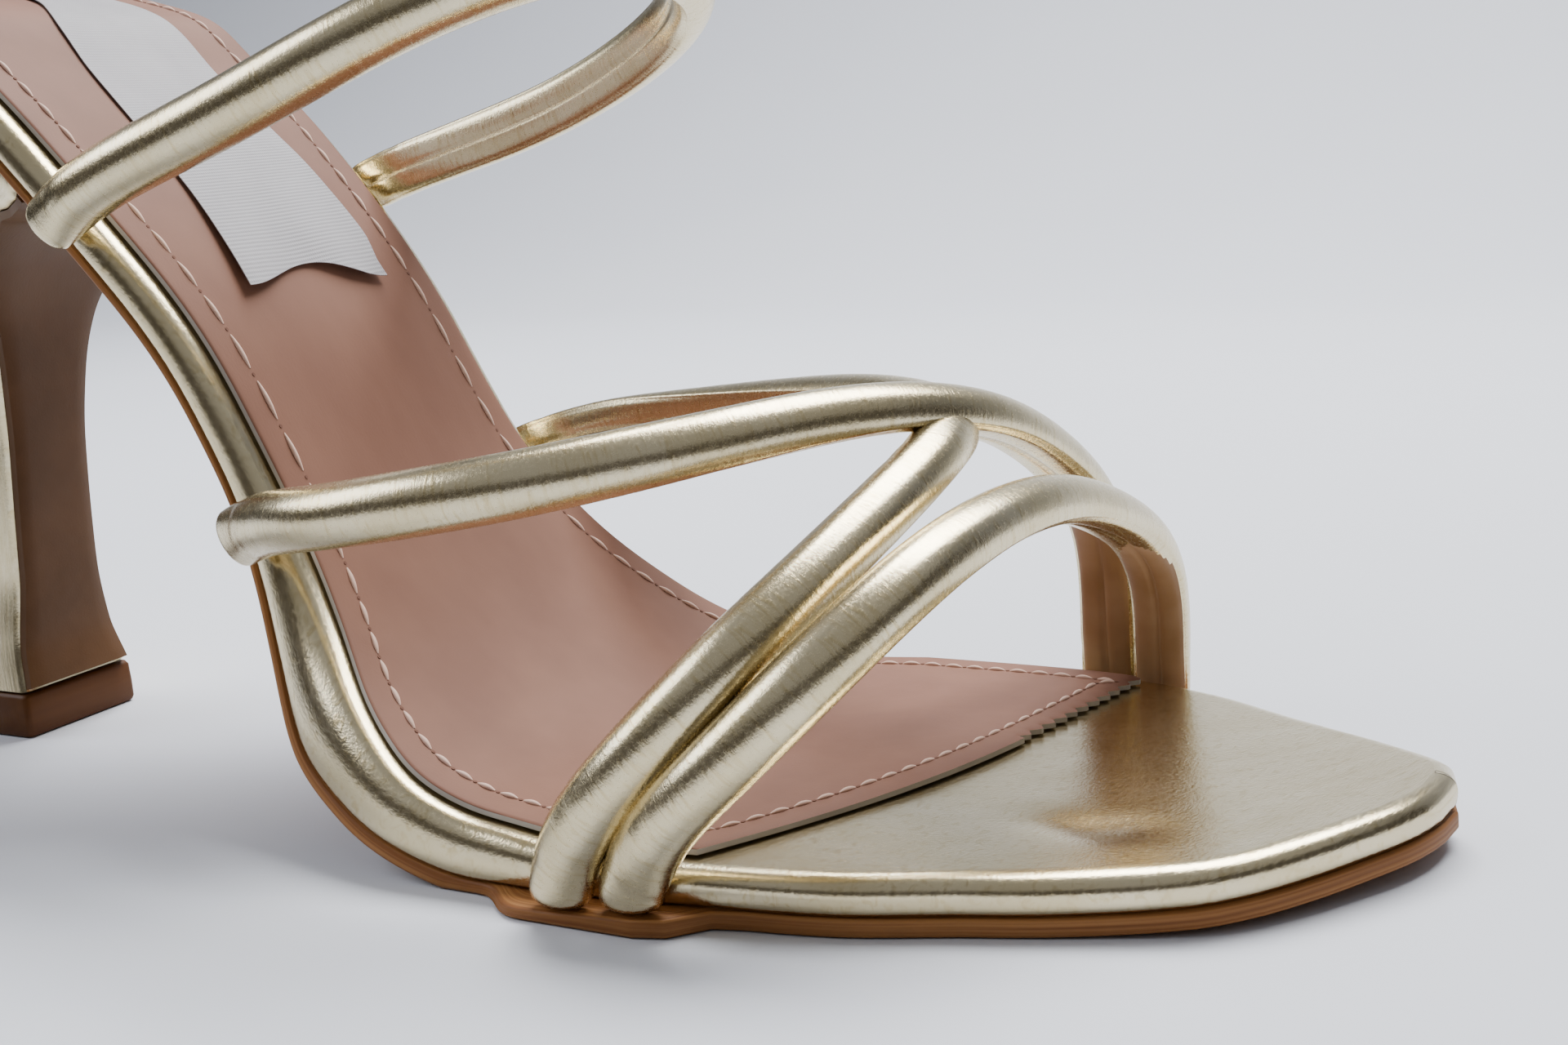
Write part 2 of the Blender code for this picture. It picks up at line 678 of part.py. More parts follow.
def make_top_piece(material):
    """Plate under the heel block that meets the floor."""
    steps = 10
    power = 2.0 / 4.0
    outline = [(0.0, -1.0), (0.0, 1.0)]
    for i in range(1, 2 * steps):
        angle = math.pi * i / (2 * steps)
        across = math.copysign(abs(math.cos(angle)) ** power, math.cos(angle))
        outline.append((-math.sin(angle) ** power, across))
    verts = []
    levels = [(TOP_PIECE_CHAMFER, 0.0), (0.0, TOP_PIECE_CHAMFER), (TOP_PIECE_CHAMFER * 0.5, TOP_PIECE_HEIGHT)]
    for inset, z in levels:
        for x, y in outline:
            depth = TOP_PIECE_DEPTH - 2.0 * inset
            verts.append((TOP_PIECE_FRONT - inset + x * depth,
                          HEEL_SHIFT + y * (TOP_PIECE_HALF_WIDTH - inset), z))
    count = len(outline)
    faces = [tuple(range(count)), tuple(2 * count + k for k in range(count))]
    for r in range(2):
        for k in range(count):
            nxt = (k + 1) % count
            faces.append((r * count + k, r * count + nxt, (r + 1) * count + nxt, (r + 1) * count + k))
    return make_object("top_piece", verts, faces, material, smooth_angle=30.0)


def centre_on_floor(objects):
    """Hang the shoe on one empty so that its box stands on the origin, centred."""
    bpy.context.view_layer.update()
    depsgraph = bpy.context.evaluated_depsgraph_get()
    low = Vector((1e9, 1e9, 1e9))
    high = -low
    for obj in objects:
        if obj.hide_render:
            continue
        mesh = obj.evaluated_get(depsgraph).to_mesh()
        for vert in mesh.vertices:
            low = Vector(map(min, low, vert.co))
            high = Vector(map(max, high, vert.co))
    shoe = bpy.data.objects.new("shoe", None)
    bpy.context.collection.objects.link(shoe)
    shoe.location = (-(low.x + high.x) / 2.0, -(low.y + high.y) / 2.0, -low.z)
    for obj in objects:
        obj.parent = shoe
    bpy.context.view_layer.update()
    return high - low


def build():
    for obj in list(bpy.data.objects):
        bpy.data.objects.remove(obj, do_unlink=True)
    gold = make_material("gold_coated_leather", (0.56, 0.42, 0.27), 0.26, 0.85)
    pink = make_material("nude_sock_lining", (0.35, 0.23, 0.19), 0.55)
    tan = make_material("tan_outsole", (0.36, 0.17, 0.07), 0.60)
    brown = make_material("tan_top_piece", (0.33, 0.13, 0.05), 0.50)
    make_outsole(tan)
    make_footbed(gold)
    make_sock(pink)
    make_upper(gold)
    make_instep_loop(gold)
    make_heel(gold)
    make_flap(tan)
    make_top_piece(brown)
    size = centre_on_floor([o for o in bpy.data.objects if o.type == "MESH"])
    print("shoe size in mm:", [round(v * 1000.0, 1) for v in size])


build()
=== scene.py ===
# %% [markdown]
# # A strappy heeled sandal in gold foil leather
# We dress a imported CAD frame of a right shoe. The frame gives the sizes; this script makes the
# surfaces that the eye sees: rolled tube straps with fine creases, a padded footbed, a stitched
# sock lining, a layered sole edge and a covered heel. All lengths are in metres.

# %% Load the frame
import math

import bmesh
import bpy
from mathutils import Matrix, Vector, noise


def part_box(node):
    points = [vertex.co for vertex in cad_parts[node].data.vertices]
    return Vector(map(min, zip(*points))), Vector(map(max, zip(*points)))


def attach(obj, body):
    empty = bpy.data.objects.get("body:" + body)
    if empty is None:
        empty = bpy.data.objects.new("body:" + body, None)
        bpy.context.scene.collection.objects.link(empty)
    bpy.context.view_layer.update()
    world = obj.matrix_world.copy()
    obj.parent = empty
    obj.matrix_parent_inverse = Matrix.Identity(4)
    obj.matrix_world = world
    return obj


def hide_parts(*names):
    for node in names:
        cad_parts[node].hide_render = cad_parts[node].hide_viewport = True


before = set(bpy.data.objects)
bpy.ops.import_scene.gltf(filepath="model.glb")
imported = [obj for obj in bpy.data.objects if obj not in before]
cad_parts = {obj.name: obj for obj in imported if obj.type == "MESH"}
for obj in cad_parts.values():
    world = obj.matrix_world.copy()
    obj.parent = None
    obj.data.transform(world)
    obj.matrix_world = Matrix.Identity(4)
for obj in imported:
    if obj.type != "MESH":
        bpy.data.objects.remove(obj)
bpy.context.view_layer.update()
MM = 0.001
print("CAD nodes:", sorted(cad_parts))

# %% [markdown]
# ## The foot line
# A heeled shoe is built on a last, a wooden foot. It could be sculpted, but two curves describe
# it well enough: the line of the insole seen from the side, and the footbed's outline seen from
# above. Tables with shares of named sizes keep them readable. They follow the frame's own
# numbers, so that each new surface lies where the CAD solid lies; only the toe's tip is rounder.

# %% Sizes of the last
LENGTH, BALL_WIDTH, HEEL_RISE, GAP = 0.2140, 0.0743, 0.0973, 0.0003
OUTSOLE_THICKNESS, FOOTBED_THICKNESS, SOCK_THICKNESS = 0.0019, 0.0038, 0.0008
PLATFORM = OUTSOLE_THICKNESS + GAP + FOOTBED_THICKNESS + GAP + SOCK_THICKNESS
FOOTBED_TOP = SOCK_THICKNESS + GAP
TOP_PIECE_FRONT, TOP_PIECE_DEPTH, HEEL_SHIFT = 0.0299, 0.0188, -0.0024
# The last's numbers start at the heel end; the frame's origin is the middle of the shoe
top_piece_low, top_piece_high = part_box("top_piece")
SHIFT = Vector(((top_piece_low.x + top_piece_high.x + TOP_PIECE_DEPTH) / 2.0 - TOP_PIECE_FRONT,
                (top_piece_low.y + top_piece_high.y) / 2.0 - HEEL_SHIFT, 0.0))
print("the heel end lies", round(-SHIFT.x / MM), "mm behind the frame's origin")

# %% Tables of the last
# The first column of each is a station: 0 at the heel end, 1 at the toe tip.
# Height of the insole, as a share of the heel's rise
INSOLE_LINE = [
    (0.000, 1.000), (0.110, 0.978), (0.176, 0.943), (0.220, 0.909), (0.255, 0.840),
    (0.286, 0.779), (0.312, 0.722), (0.338, 0.661), (0.365, 0.586), (0.391, 0.497),
    (0.418, 0.378), (0.442, 0.284), (0.475, 0.192), (0.508, 0.122), (0.541, 0.069),
    (0.567, 0.040), (0.589, 0.023), (0.633, 0.000), (0.835, 0.000), (1.000, 0.020),
]
# Thickness of the footbed and of the outsole, as shares of their own
LAYERS = [
    (0.000, 1.07, 0.55), (0.340, 1.01, 0.50), (0.415, 1.03, 0.45), (0.440, 1.46, 0.50),
    (0.465, 2.06, 0.60), (0.490, 2.36, 0.70), (0.515, 2.04, 0.80), (0.545, 1.73, 0.88),
    (0.585, 1.52, 0.95), (0.640, 1.13, 1.00), (0.700, 1.00, 1.00), (1.000, 1.00, 1.00),
]
# Half width and middle of the footbed, as shares of the ball's width
OUTLINE = [
    (0.110, 0.345, -0.013), (0.198, 0.359, -0.015), (0.286, 0.355, -0.022),
    (0.338, 0.342, -0.028), (0.391, 0.325, -0.017), (0.426, 0.322, -0.011),
    (0.457, 0.345, -0.022), (0.492, 0.392, -0.045), (0.527, 0.432, -0.049),
    (0.589, 0.470, -0.024), (0.677, 0.500, 0.004),
]
# The same two in front of the widest place; up to 1.4 mm wider at the tip than the solid
TOE = [
    (0.677, 0.500, 0.004), (0.757, 0.483, 0.019), (0.825, 0.438, 0.038),
    (0.862, 0.398, 0.034), (0.897, 0.343, 0.018), (0.916, 0.308, 0.011),
    (0.933, 0.270, 0.014), (0.950, 0.225, 0.024), (0.972, 0.157, 0.043),
    (0.989, 0.096, 0.062), (1.000, 0.000, 0.085),
]
# Sideways slope of the insole, higher on the inner side at the arch
CROSS_SLOPE = [
    (0.000, 0.000), (0.264, 0.010), (0.338, 0.030), (0.391, 0.050), (0.430, 0.090),
    (0.475, 0.120), (0.520, 0.100), (0.567, 0.060), (0.633, 0.000), (1.000, 0.000),
]
# The back of the seat is a rounded square with these two powers
SEAT_POWER, SEAT_ROOT = 2.3, 0.48
BACK_STATION, WIDEST_STATION = OUTLINE[0][0], OUTLINE[-1][0]
print("rows in the tables:", [len(t) for t in (INSOLE_LINE, LAYERS, OUTLINE, TOE, CROSS_SLOPE)])

# %% [markdown]
# ## A smooth line through a table
# A pattern cutter draws such a line with a bent strip of wood. A Blender curve could do it, but
# its handles overshoot where rows lie close together. A monotone cubic never swings past a row,
# so what is flat stays flat. Some lines are also calmed, because gloss shows each change of bend.


# %% Smooth lines
def smooth_line(rows, column):
    """Monotone cubic: it passes through each row and never swings past one."""
    xs = [row[0] for row in rows]
    ys = [row[column] for row in rows]
    steps = [b - a for a, b in zip(xs, xs[1:])]
    rates = [(ys[i + 1] - ys[i]) / steps[i] for i in range(len(steps))]
    slopes = [rates[0]]
    for i in range(1, len(rates)):
        if rates[i - 1] * rates[i] <= 0.0:
            slopes.append(0.0)
            continue
        before = 2.0 * steps[i] + steps[i - 1]
        after = steps[i] + 2.0 * steps[i - 1]
        slopes.append((before + after) / (before / rates[i - 1] + after / rates[i]))
    slopes.append(rates[-1])

    def value(x):
        x = min(max(x, xs[0]), xs[-1])
        i = 0
        while i < len(steps) - 1 and x > xs[i + 1]:
            i += 1
        u = (x - xs[i]) / steps[i]
        rise = (1 + 2 * u) * (1 - u) ** 2 * ys[i] + u * u * (3 - 2 * u) * ys[i + 1]
        bend = u * (1 - u) ** 2 * slopes[i] - u * u * (1 - u) * slopes[i + 1]
        return rise + steps[i] * bend

    return value


def calmed(line, reach=0.009):
    """The same line with its changes of bend spread out, so that reflections run smoothly."""
    return lambda s: (line(s - reach) + 2.0 * line(s) + line(s + reach)) / 4.0


insole_rise = calmed(smooth_line(INSOLE_LINE, 1))
outline_half = smooth_line(OUTLINE, 1)
outline_middle = smooth_line(OUTLINE, 2)
toe_square = smooth_line([(row[0], row[1] ** 2) for row in TOE], 1)
toe_middle = smooth_line(TOE, 2)
cross_slope = smooth_line(CROSS_SLOPE, 1)
footbed_share = calmed(smooth_line(LAYERS, 1))
outsole_share = calmed(smooth_line(LAYERS, 2))
print("insole at half length:", round(HEEL_RISE * insole_rise(0.5) / MM, 1), "mm over the ball")

# %% Outline and heights of the foot
OUTLINE_CALM = 0.012


def half_width(station):
    """Half of the footbed's width at a station."""
    if station < BACK_STATION:
        u = 1.0 - max(station, 0.0) / BACK_STATION
        share = max(0.0, 1.0 - u ** SEAT_POWER) ** SEAT_ROOT
        return BALL_WIDTH * outline_half(BACK_STATION) * share
    if station > WIDEST_STATION:
        return BALL_WIDTH * math.sqrt(max(0.0, toe_square(station)))
    reach = min(OUTLINE_CALM, station - BACK_STATION, WIDEST_STATION - station)
    return BALL_WIDTH * calmed(outline_half, reach)(station)


def middle(station):
    """Sideways place of the footbed's middle at a station."""
    if station > WIDEST_STATION:
        return BALL_WIDTH * toe_middle(station)
    reach = min(OUTLINE_CALM, WIDEST_STATION - station)
    return BALL_WIDTH * calmed(outline_middle, reach)(station)


def insole_height(x):
    return PLATFORM + HEEL_RISE * insole_rise(x / LENGTH)


def up_direction(x):
    """Square to the insole, seen from the side."""
    step = 0.0010
    slope = (insole_height(x + step) - insole_height(x - step)) / (2.0 * step)
    return Vector((-slope, 0.0, 1.0)).normalized()


def under_foot(x, y, depth):
    """Point at a depth under the insole's surface."""
    point = Vector((x, y, insole_height(x))) - depth * up_direction(x)
    point.z += cross_slope(x / LENGTH) * y
    return point


def footbed_under(station):
    return FOOTBED_TOP + FOOTBED_THICKNESS * footbed_share(station)


def outsole_top(station):
    return footbed_under(station) + GAP


def outsole_under(station):
    return outsole_top(station) + OUTSOLE_THICKNESS * outsole_share(station)


print("heel seat is", round(insole_height(0.0) / MM), "mm above the floor")

# %% [markdown]
# ## The camera
# The picture was taken close to the shoe, low and a little from the front, and slightly tilted.
# A camera this near makes the toe look large, so the distance matters as much as the angle. It
# could be set by eye in the viewport; solved numbers are written down instead, and they stay
# right when the shoe is moved.

# %% Camera
CAMERA_PLACE = Vector((0.23612, -0.17644, 0.07341)) + SHIFT
CAMERA_YAW, CAMERA_PITCH, CAMERA_ROLL = (math.radians(a) for a in (27.76, 11.66, -3.77))
FOCAL_PIXELS, PHOTO_WIDTH, SENSOR_MM = 2225.0, 1920.0, 36.0


def camera_rotation():
    """Turn about the upright axis, then down, then tilt."""
    ahead = Vector((-math.sin(CAMERA_YAW) * math.cos(CAMERA_PITCH),
                    math.cos(CAMERA_YAW) * math.cos(CAMERA_PITCH), -math.sin(CAMERA_PITCH)))
    right = Vector((math.cos(CAMERA_YAW), math.sin(CAMERA_YAW), 0.0))
    up = right.cross(ahead)
    c, s = math.cos(CAMERA_ROLL), math.sin(CAMERA_ROLL)
    return Matrix((c * right + s * up, c * up - s * right, -ahead)).transposed().to_4x4()


camera_data = bpy.data.cameras.new("photo_camera")
camera_data.sensor_width = SENSOR_MM
camera_data.lens = SENSOR_MM * FOCAL_PIXELS / PHOTO_WIDTH
camera_data.clip_start = 0.01
camera = bpy.data.objects.new("photo_camera", camera_data)
camera.matrix_world = Matrix.Translation(CAMERA_PLACE) @ camera_rotation()
bpy.context.scene.collection.objects.link(camera)
bpy.context.scene.camera = camera
print("lens in mm:", round(camera_data.lens, 1))

# %% [markdown]
# ## Building materials with nodes
# One helper adds any node, sets its values and links its inputs, so each material below reads
# like a recipe. Patterns are scaled from real sizes: every mesh carries a map in metres, and we
# multiply it by a thousand, so that a texture scale of 2 means two features each millimetre.


# %% Node and colour helpers
def linear(hex_colour):
    """sRGB hex as the eye reads it, turned to the linear values that light adds up in."""
    parts = [int(hex_colour[i:i + 2], 16) / 255.0 for i in (1, 3, 5)]
    light = [p / 12.92 if p <= 0.04045 else ((p + 0.055) / 1.055) ** 2.4 for p in parts]
    return (*light, 1.0)


def add(tree, kind, inputs=None, **settings):
    """Adds a node; an input that is a socket is linked, and anything else is set as its value."""
    node = tree.nodes.new(kind)
    for name, value in settings.items():
        setattr(node, name, value)
    for name, value in (inputs or {}).items():
        if isinstance(value, bpy.types.NodeSocket):
            tree.links.new(value, node.inputs[name])
        else:
            node.inputs[name].default_value = value
    return node


def new_material(name, **shader_values):
    """Material with one Principled shader; its own sockets hold what is the same all over."""
    material = bpy.data.materials.new(name)
    material.use_nodes = True
    tree = material.node_tree
    shader = tree.nodes["Principled BSDF"]
    for key, value in shader_values.items():
        shader.inputs[key.replace("_", " ")].default_value = value
    return material, tree, shader


def map_in_mm(tree, along=1.0, across=1.0):
    """The mesh's own map in millimetres, stretched along or across."""
    place = add(tree, "ShaderNodeUVMap", uv_map="metres")
    scale = (along / MM, across / MM, 1.0)
    return add(tree, "ShaderNodeMapping", {"Vector": place.outputs["UV"],
                                           "Scale": scale}).outputs["Vector"]


def colour_mix(tree, factor, low, high):
    """Mix of two colours by a grey value."""
    mix = tree.nodes.new("ShaderNodeMix")
    mix.data_type = "RGBA"
    tree.links.new(factor, mix.inputs[0])
    for index, value in ((6, low), (7, high)):
        if isinstance(value, bpy.types.NodeSocket):
            tree.links.new(value, mix.inputs[index])
        else:
            mix.inputs[index].default_value = value
    return mix.outputs[2]


def ramp(tree, factor, start, end):
    """Turns a grey value into 0 below start and 1 above end."""
    node = add(tree, "ShaderNodeMapRange", {"Value": factor, "From Min": start, "From Max": end})
    return node.outputs["Result"]


def bump(tree, height, distance_mm, normal=None):
    """Relief in millimetres from a grey value, on top of another relief."""
    inputs = {"Height": height, "Distance": distance_mm * MM, "Strength": 1.0}
    if normal is not None:
        inputs["Normal"] = normal
    return add(tree, "ShaderNodeBump", inputs).outputs["Normal"]


print("helpers ready; champagne is", [round(c, 3) for c in linear("#C9AE86")[:3]])

# %% [markdown]
# ## Gold foil leather
# The straps and the footbed are PU leather with a champagne metal foil pressed on. The foil is
# a thin mirror, so it is metallic, but it copies the leather's grain and the fine wrinkles that
# rolling leaves across a tube, so highlights end in a ragged, sparkling edge. A metallic paint
# would be smoother; noise at the leather's own scale gives the broken gloss. The grain is
# 0.3 mm, drawn at 0.4 mm so that it shows. Wrinkles get painted shade: a darker colour.


# %% Gold foil leather
def foil_leather(name, crinkle_mm, along, across, grain_mm, wave_mm, rough):
    """Champagne foil: fine grain, sparse wrinkles across the strap with painted shade, and a soft
    unevenness.
    """
    material, tree, shader = new_material(name, Metallic=1.0)
    grain = add(tree, "ShaderNodeTexNoise", {"Vector": map_in_mm(tree), "Scale": 2.5,
                                             "Detail": 4.0, "Roughness": 0.6})
    crinkle = add(tree, "ShaderNodeTexNoise", {"Vector": map_in_mm(tree, along, across),
                                               "Scale": 1.0, "Detail": 3.0, "Distortion": 0.7})
    waves = add(tree, "ShaderNodeTexNoise", {"Vector": map_in_mm(tree, 0.12, 0.20), "Scale": 1.0,
                                             "Detail": 1.0})
    folds_and_painted_shade = ramp(tree, crinkle.outputs["Fac"], 0.52, 0.72)
    tone = ramp(tree, waves.outputs["Fac"], 0.3, 0.7)
    colour = colour_mix(tree, tone, linear("#D2C39C"), linear("#DCCFAD"))
    # Painted shade: the wrinkles are coloured a darker champagne.
    colour = colour_mix(tree, folds_and_painted_shade, colour, linear("#C8B78C"))
    tree.links.new(colour, shader.inputs["Base Color"])
    gloss = add(tree, "ShaderNodeMapRange", {"Value": grain.outputs["Fac"], "From Min": 0.3,
                                             "From Max": 0.7, "To Min": rough - 0.04,
                                             "To Max": rough + 0.07})
    tree.links.new(gloss.outputs["Result"], shader.inputs["Roughness"])
    normal = bump(tree, waves.outputs["Fac"], wave_mm)
    normal = bump(tree, folds_and_painted_shade, crinkle_mm, normal)
    normal = bump(tree, grain.outputs["Fac"], grain_mm, normal)
    tree.links.new(normal, shader.inputs["Normal"])
    return material


# Wrinkle depth in mm, wrinkles per mm along and across, grain and wave depth in mm, roughness
strap_foil = foil_leather("champagne_foil_on_pu_leather_straps",
                          0.009, 1.9, 0.35, 0.026, 0.03, 0.23)
footbed_foil = foil_leather("champagne_foil_on_pu_leather_footbed",
                            0.006, 1.2, 0.8, 0.030, 0.012, 0.20)
heel_foil = foil_leather("champagne_foil_on_heel_wrap", 0.006, 0.5, 0.5, 0.012, 0.04, 0.20)
print("foil leathers:", strap_foil.name, footbed_foil.name, heel_foil.name)

# %% [markdown]
# ## Nude lining, raw edge and thread
# The sock lining is a matt nude PU sheet with an embossed pebble and a cut edge that shows its
# grey backing cloth. The straps are lined with a paler PU on the foot side. One recipe with two
# near colours serves them all and the thread too: a slow cloud of tone, so that no surface is
# flat, and a fine pebble. The pebble is 0.25 mm, drawn at 0.33 mm so that it shows.


# %% Lining materials
def lining(name, base, deep, rough):
    """Matt sheet in two near tones: it takes light evenly, with a soft, wide sheen."""
    material, tree, shader = new_material(name, Roughness=rough, Specular_IOR_Level=0.2)
    pebble = add(tree, "ShaderNodeTexNoise", {"Vector": map_in_mm(tree), "Scale": 3.0,
                                              "Detail": 3.0, "Roughness": 0.6})
    cloud = add(tree, "ShaderNodeTexNoise", {"Vector": map_in_mm(tree, 0.08, 0.08), "Scale": 1.0,
                                             "Detail": 3.0})
    colour = colour_mix(tree, ramp(tree, cloud.outputs["Fac"], 0.35, 0.65),
                        linear(base), linear(deep))
    tree.links.new(colour, shader.inputs["Base Color"])
    normal = bump(tree, cloud.outputs["Fac"], 0.25)
    normal = bump(tree, pebble.outputs["Fac"], 0.020, normal)
    tree.links.new(normal, shader.inputs["Normal"])
    return material


sock_lining = lining("nude_pu_sock_lining", "#835D4C", "#7A5545", 0.62)
strap_lining = lining("nude_pu_strap_lining", "#AB8A6C", "#94714F", 0.45)
raw_edge = lining("cut_backing_cloth", "#BDB6AC", "#A39B91", 0.90)
stitch_thread = lining("polyester_thread_nude", "#DBB9A8", "#D0AD9C", 0.60)
# Painted shade: each needle hole is a dark disc, the shade inside the hole.
needle_hole = lining("needle_hole_shade", "#755447", "#6A4A3E", 0.95)
print("linings:", sock_lining.name, strap_lining.name, raw_edge.name)

# %% [markdown]
# ## Moulded tan sole
# The outsole and the top piece are moulded thermoplastic rubber, matt, with fine lines along the
# edge from trimming. Grooves in the mesh would be too many, so a noise that is stretched along
# the edge draws them. They are 0.2 mm apart, drawn at 0.45 mm so that they show. The cover on
# the heel's front is a brown sheet with painted shade in its colour, and uses the lining's recipe.


# %% Sole materials
def moulded_rubber(name, light, dark, rough, line_mm):
    """Matt rubber with lines along its edge: brown with darker streaks, no clear highlight."""
    material, tree, shader = new_material(name, Roughness=rough, Specular_IOR_Level=0.2)
    lines = add(tree, "ShaderNodeTexNoise", {"Vector": map_in_mm(tree, 0.02, 1.0 / line_mm),
                                             "Scale": 1.0, "Detail": 2.0})
    mottle = add(tree, "ShaderNodeTexNoise", {"Vector": map_in_mm(tree, 0.5, 0.5), "Scale": 1.0,
                                              "Detail": 4.0})
    colour = colour_mix(tree, ramp(tree, lines.outputs["Fac"], 0.35, 0.62),
                        linear(dark), linear(light))
    tree.links.new(colour, shader.inputs["Base Color"])
    normal = bump(tree, lines.outputs["Fac"], 0.10)
    normal = bump(tree, mottle.outputs["Fac"], 0.02, normal)
    tree.links.new(normal, shader.inputs["Normal"])
    return material


sole_rubber = moulded_rubber("tan_thermoplastic_outsole", "#9C6B3C", "#7A4B25", 0.50, 0.45)
# Painted shade: the cover's dark colour is partly the sheet's brown and partly shade on the heel's
# front.
breast_cover = lining("brown_breast_cover_painted_shade", "#5C3F25", "#53381F", 0.52)
top_rubber = moulded_rubber("tan_top_piece_rubber", "#573413", "#4E2C0E", 0.48, 3.0)
print("sole materials:", sole_rubber.name, breast_cover.name, top_rubber.name)
# %% [markdown]
# ## From points to a piece
# Every piece is computed as points and faces. Modelling by hand would do as well, but numbers
# can be laid on the same foot line, so plates, stitches and straps meet without fitting. Two
# helpers give the faces of the two kinds of shape used here: a closed tube and a thin sheet.


# %% Mesh helpers
def make_piece(name, verts, faces, materials, uvs, slots=None, smooth_angle=55.0):
    """Mesh from points and faces with a map in metres for each vertex."""
    mesh = bpy.data.meshes.new(name)
    mesh.from_pydata([tuple(Vector(v) + SHIFT) for v in verts], [], faces)
    layer = mesh.uv_layers.new(name="metres")
    for loop in mesh.loops:
        layer.data[loop.index].uv = uvs[loop.vertex_index]
    if slots:
        mesh.polygons.foreach_set("material_index", slots)
    for material in materials:
        mesh.materials.append(material)
    shape = bmesh.new()
    shape.from_mesh(mesh)
    bmesh.ops.recalc_face_normals(shape, faces=shape.faces)
    shape.to_mesh(mesh)
    shape.free()
    mesh.shade_smooth()
    mesh.set_sharp_from_angle(angle=math.radians(smooth_angle))
    piece = bpy.data.objects.new(name, mesh)
    bpy.context.scene.collection.objects.link(piece)
    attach(piece, "root")
    print(name, "has", len(mesh.polygons), "faces")
    return piece


def tube_faces(rows, count, first=0):
    """Quads round a tube of rows with count points each, then a cap at both ends."""
    faces = []
    for j in range(rows - 1):
        low = first + j * count
        for k in range(count):
            turn = (k + 1) % count
            faces.append((low + k, low + turn, low + count + turn, low + count + k))
    faces.append(tuple(range(first, first + count)))
    faces.append(tuple(range(first + (rows - 1) * count, first + rows * count)))
    return faces


def sheet_faces(rows, columns):
    """Two equal grids of points, one over the other: their faces take turns, then the wall."""
    faces, size = [], rows * columns
    for j in range(rows - 1):
        for k in range(columns - 1):
            a, b = j * columns + k, (j + 1) * columns + k
            faces.append((a, a + 1, b + 1, b))
            faces.append((size + a, size + b, size + b + 1, size + a + 1))
    rim = list(range(columns)) + [j * columns + columns - 1 for j in range(1, rows)]
    rim += [(rows - 1) * columns + k for k in reversed(range(columns - 1))]
    rim += [j * columns for j in reversed(range(1, rows - 1))]
    for a, b in zip(rim, rim[1:] + rim[:1]):
        faces.append((a, b, size + b, size + a))
    return faces


print("a tube of 3 rows with 4 points has", len(tube_faces(3, 4)), "faces")

# %% [markdown]
# ## Plates that follow the foot
# Footbed and sole are plates on the same curved line. Each one is a grid: stations along the
# shoe, columns across it, and a few rings that round the edge. A bevel modifier could round it,
# but it would change radius round the toe; the rings move inward along the outline's own normal,
# so the rounding keeps its radius.


# %% Foot plates
def plate_stations(start=0.0, along=150, back=14, toe=34):
    stations = [BACK_STATION * (i / back) ** 2 for i in range(back)]
    stations += [BACK_STATION + (WIDEST_STATION - BACK_STATION) * i / along for i in range(along)]
    for i in range(toe + 1):
        left = 1.0 - i / toe
        stations.append(1.0 - (1.0 - WIDEST_STATION) * (0.35 * left + 0.65 * left * left))
    return [start] * (start > 0.0) + [s for s in stations if s > start + 0.001 or start == 0.0]


def edge_point(station, side, grow=0.0):
    """Plan point on the footbed's outline, moved outward by grow."""
    return Vector((station * LENGTH, middle(station) + side * (half_width(station) + grow), 0.0))


def inward_normals(points, side):
    normals = []
    for i in range(len(points)):
        run = (points[min(i + 1, len(points) - 1)] - points[max(i - 1, 0)]).normalized()
        normals.append(Vector((side * run.y, -side * run.x, 0.0)))
    return normals


def foot_plate(name, stations, rings, columns, material, grow=lambda s, side: 0.0,
               relief=lambda x, y: 0.0):
    """Closed plate made of one loop of points at each station.

    Each ring is (inset, depth function, lowest height). The rings go from the top inner edge
    round the side to the bottom, and the first and the last are joined across.
    """
    edges = {}
    for side in (-1, 1):
        points = [edge_point(s, side, grow(s, side)) for s in stations]
        edges[side] = list(zip(points, inward_normals(points, side)))
    verts, uvs = [], []
    for i in range(len(stations)):
        outer, inner = [[(point + inset * normal, depth, lowest) for inset, depth, lowest in rings]
                        for point, normal in (edges[-1][i], edges[1][i])]
        top = [(outer[0][0].lerp(inner[0][0], k / columns), *rings[0][1:])
               for k in range(1, columns)]
        low = [(inner[-1][0].lerp(outer[-1][0], k / columns), *rings[-1][1:])
               for k in range(1, columns)]
        around, before = 0.0, None
        for place, depth, lowest in outer[::-1] + top + inner + low:
            spot = under_foot(place.x, place.y, depth(place.x / LENGTH))
            if depth is rings[0][1]:
                spot.z += relief(place.x, place.y)
            spot.z = max(spot.z, lowest)
            around += (spot - before).length if before else 0.0
            before = spot
            verts.append(spot)
            uvs.append((place.x, around))
    faces = tube_faces(len(stations), len(verts) // len(stations))
    return make_piece(name, verts, faces, [material], uvs, smooth_angle=50.0)


print("stations along the footbed:", len(plate_stations()))

# %% [markdown]
# ## The padded footbed
# The board is wrapped in the gold leather over thin foam, so its edge is a soft half round that
# catches one long highlight. Foam could be simulated, but it hardly moves here: a shallow dent
# where the big toe presses and a faint unevenness are enough, laid on the mesh itself.


# %% Footbed
# The half round is wide above; below, the leather is pulled tight over the board's edge
RAND_RADIUS, RAND_ABOVE, RAND_BELOW = 0.0016, 1.35, 0.45
DENT_PLACE, DENT_RADIUS, DENT_DEPTH = (0.1828, -0.0137), 0.0030, 0.00070
FOAM_UNEVENNESS, FOAM_PER_METRE = 0.00009, 70.0


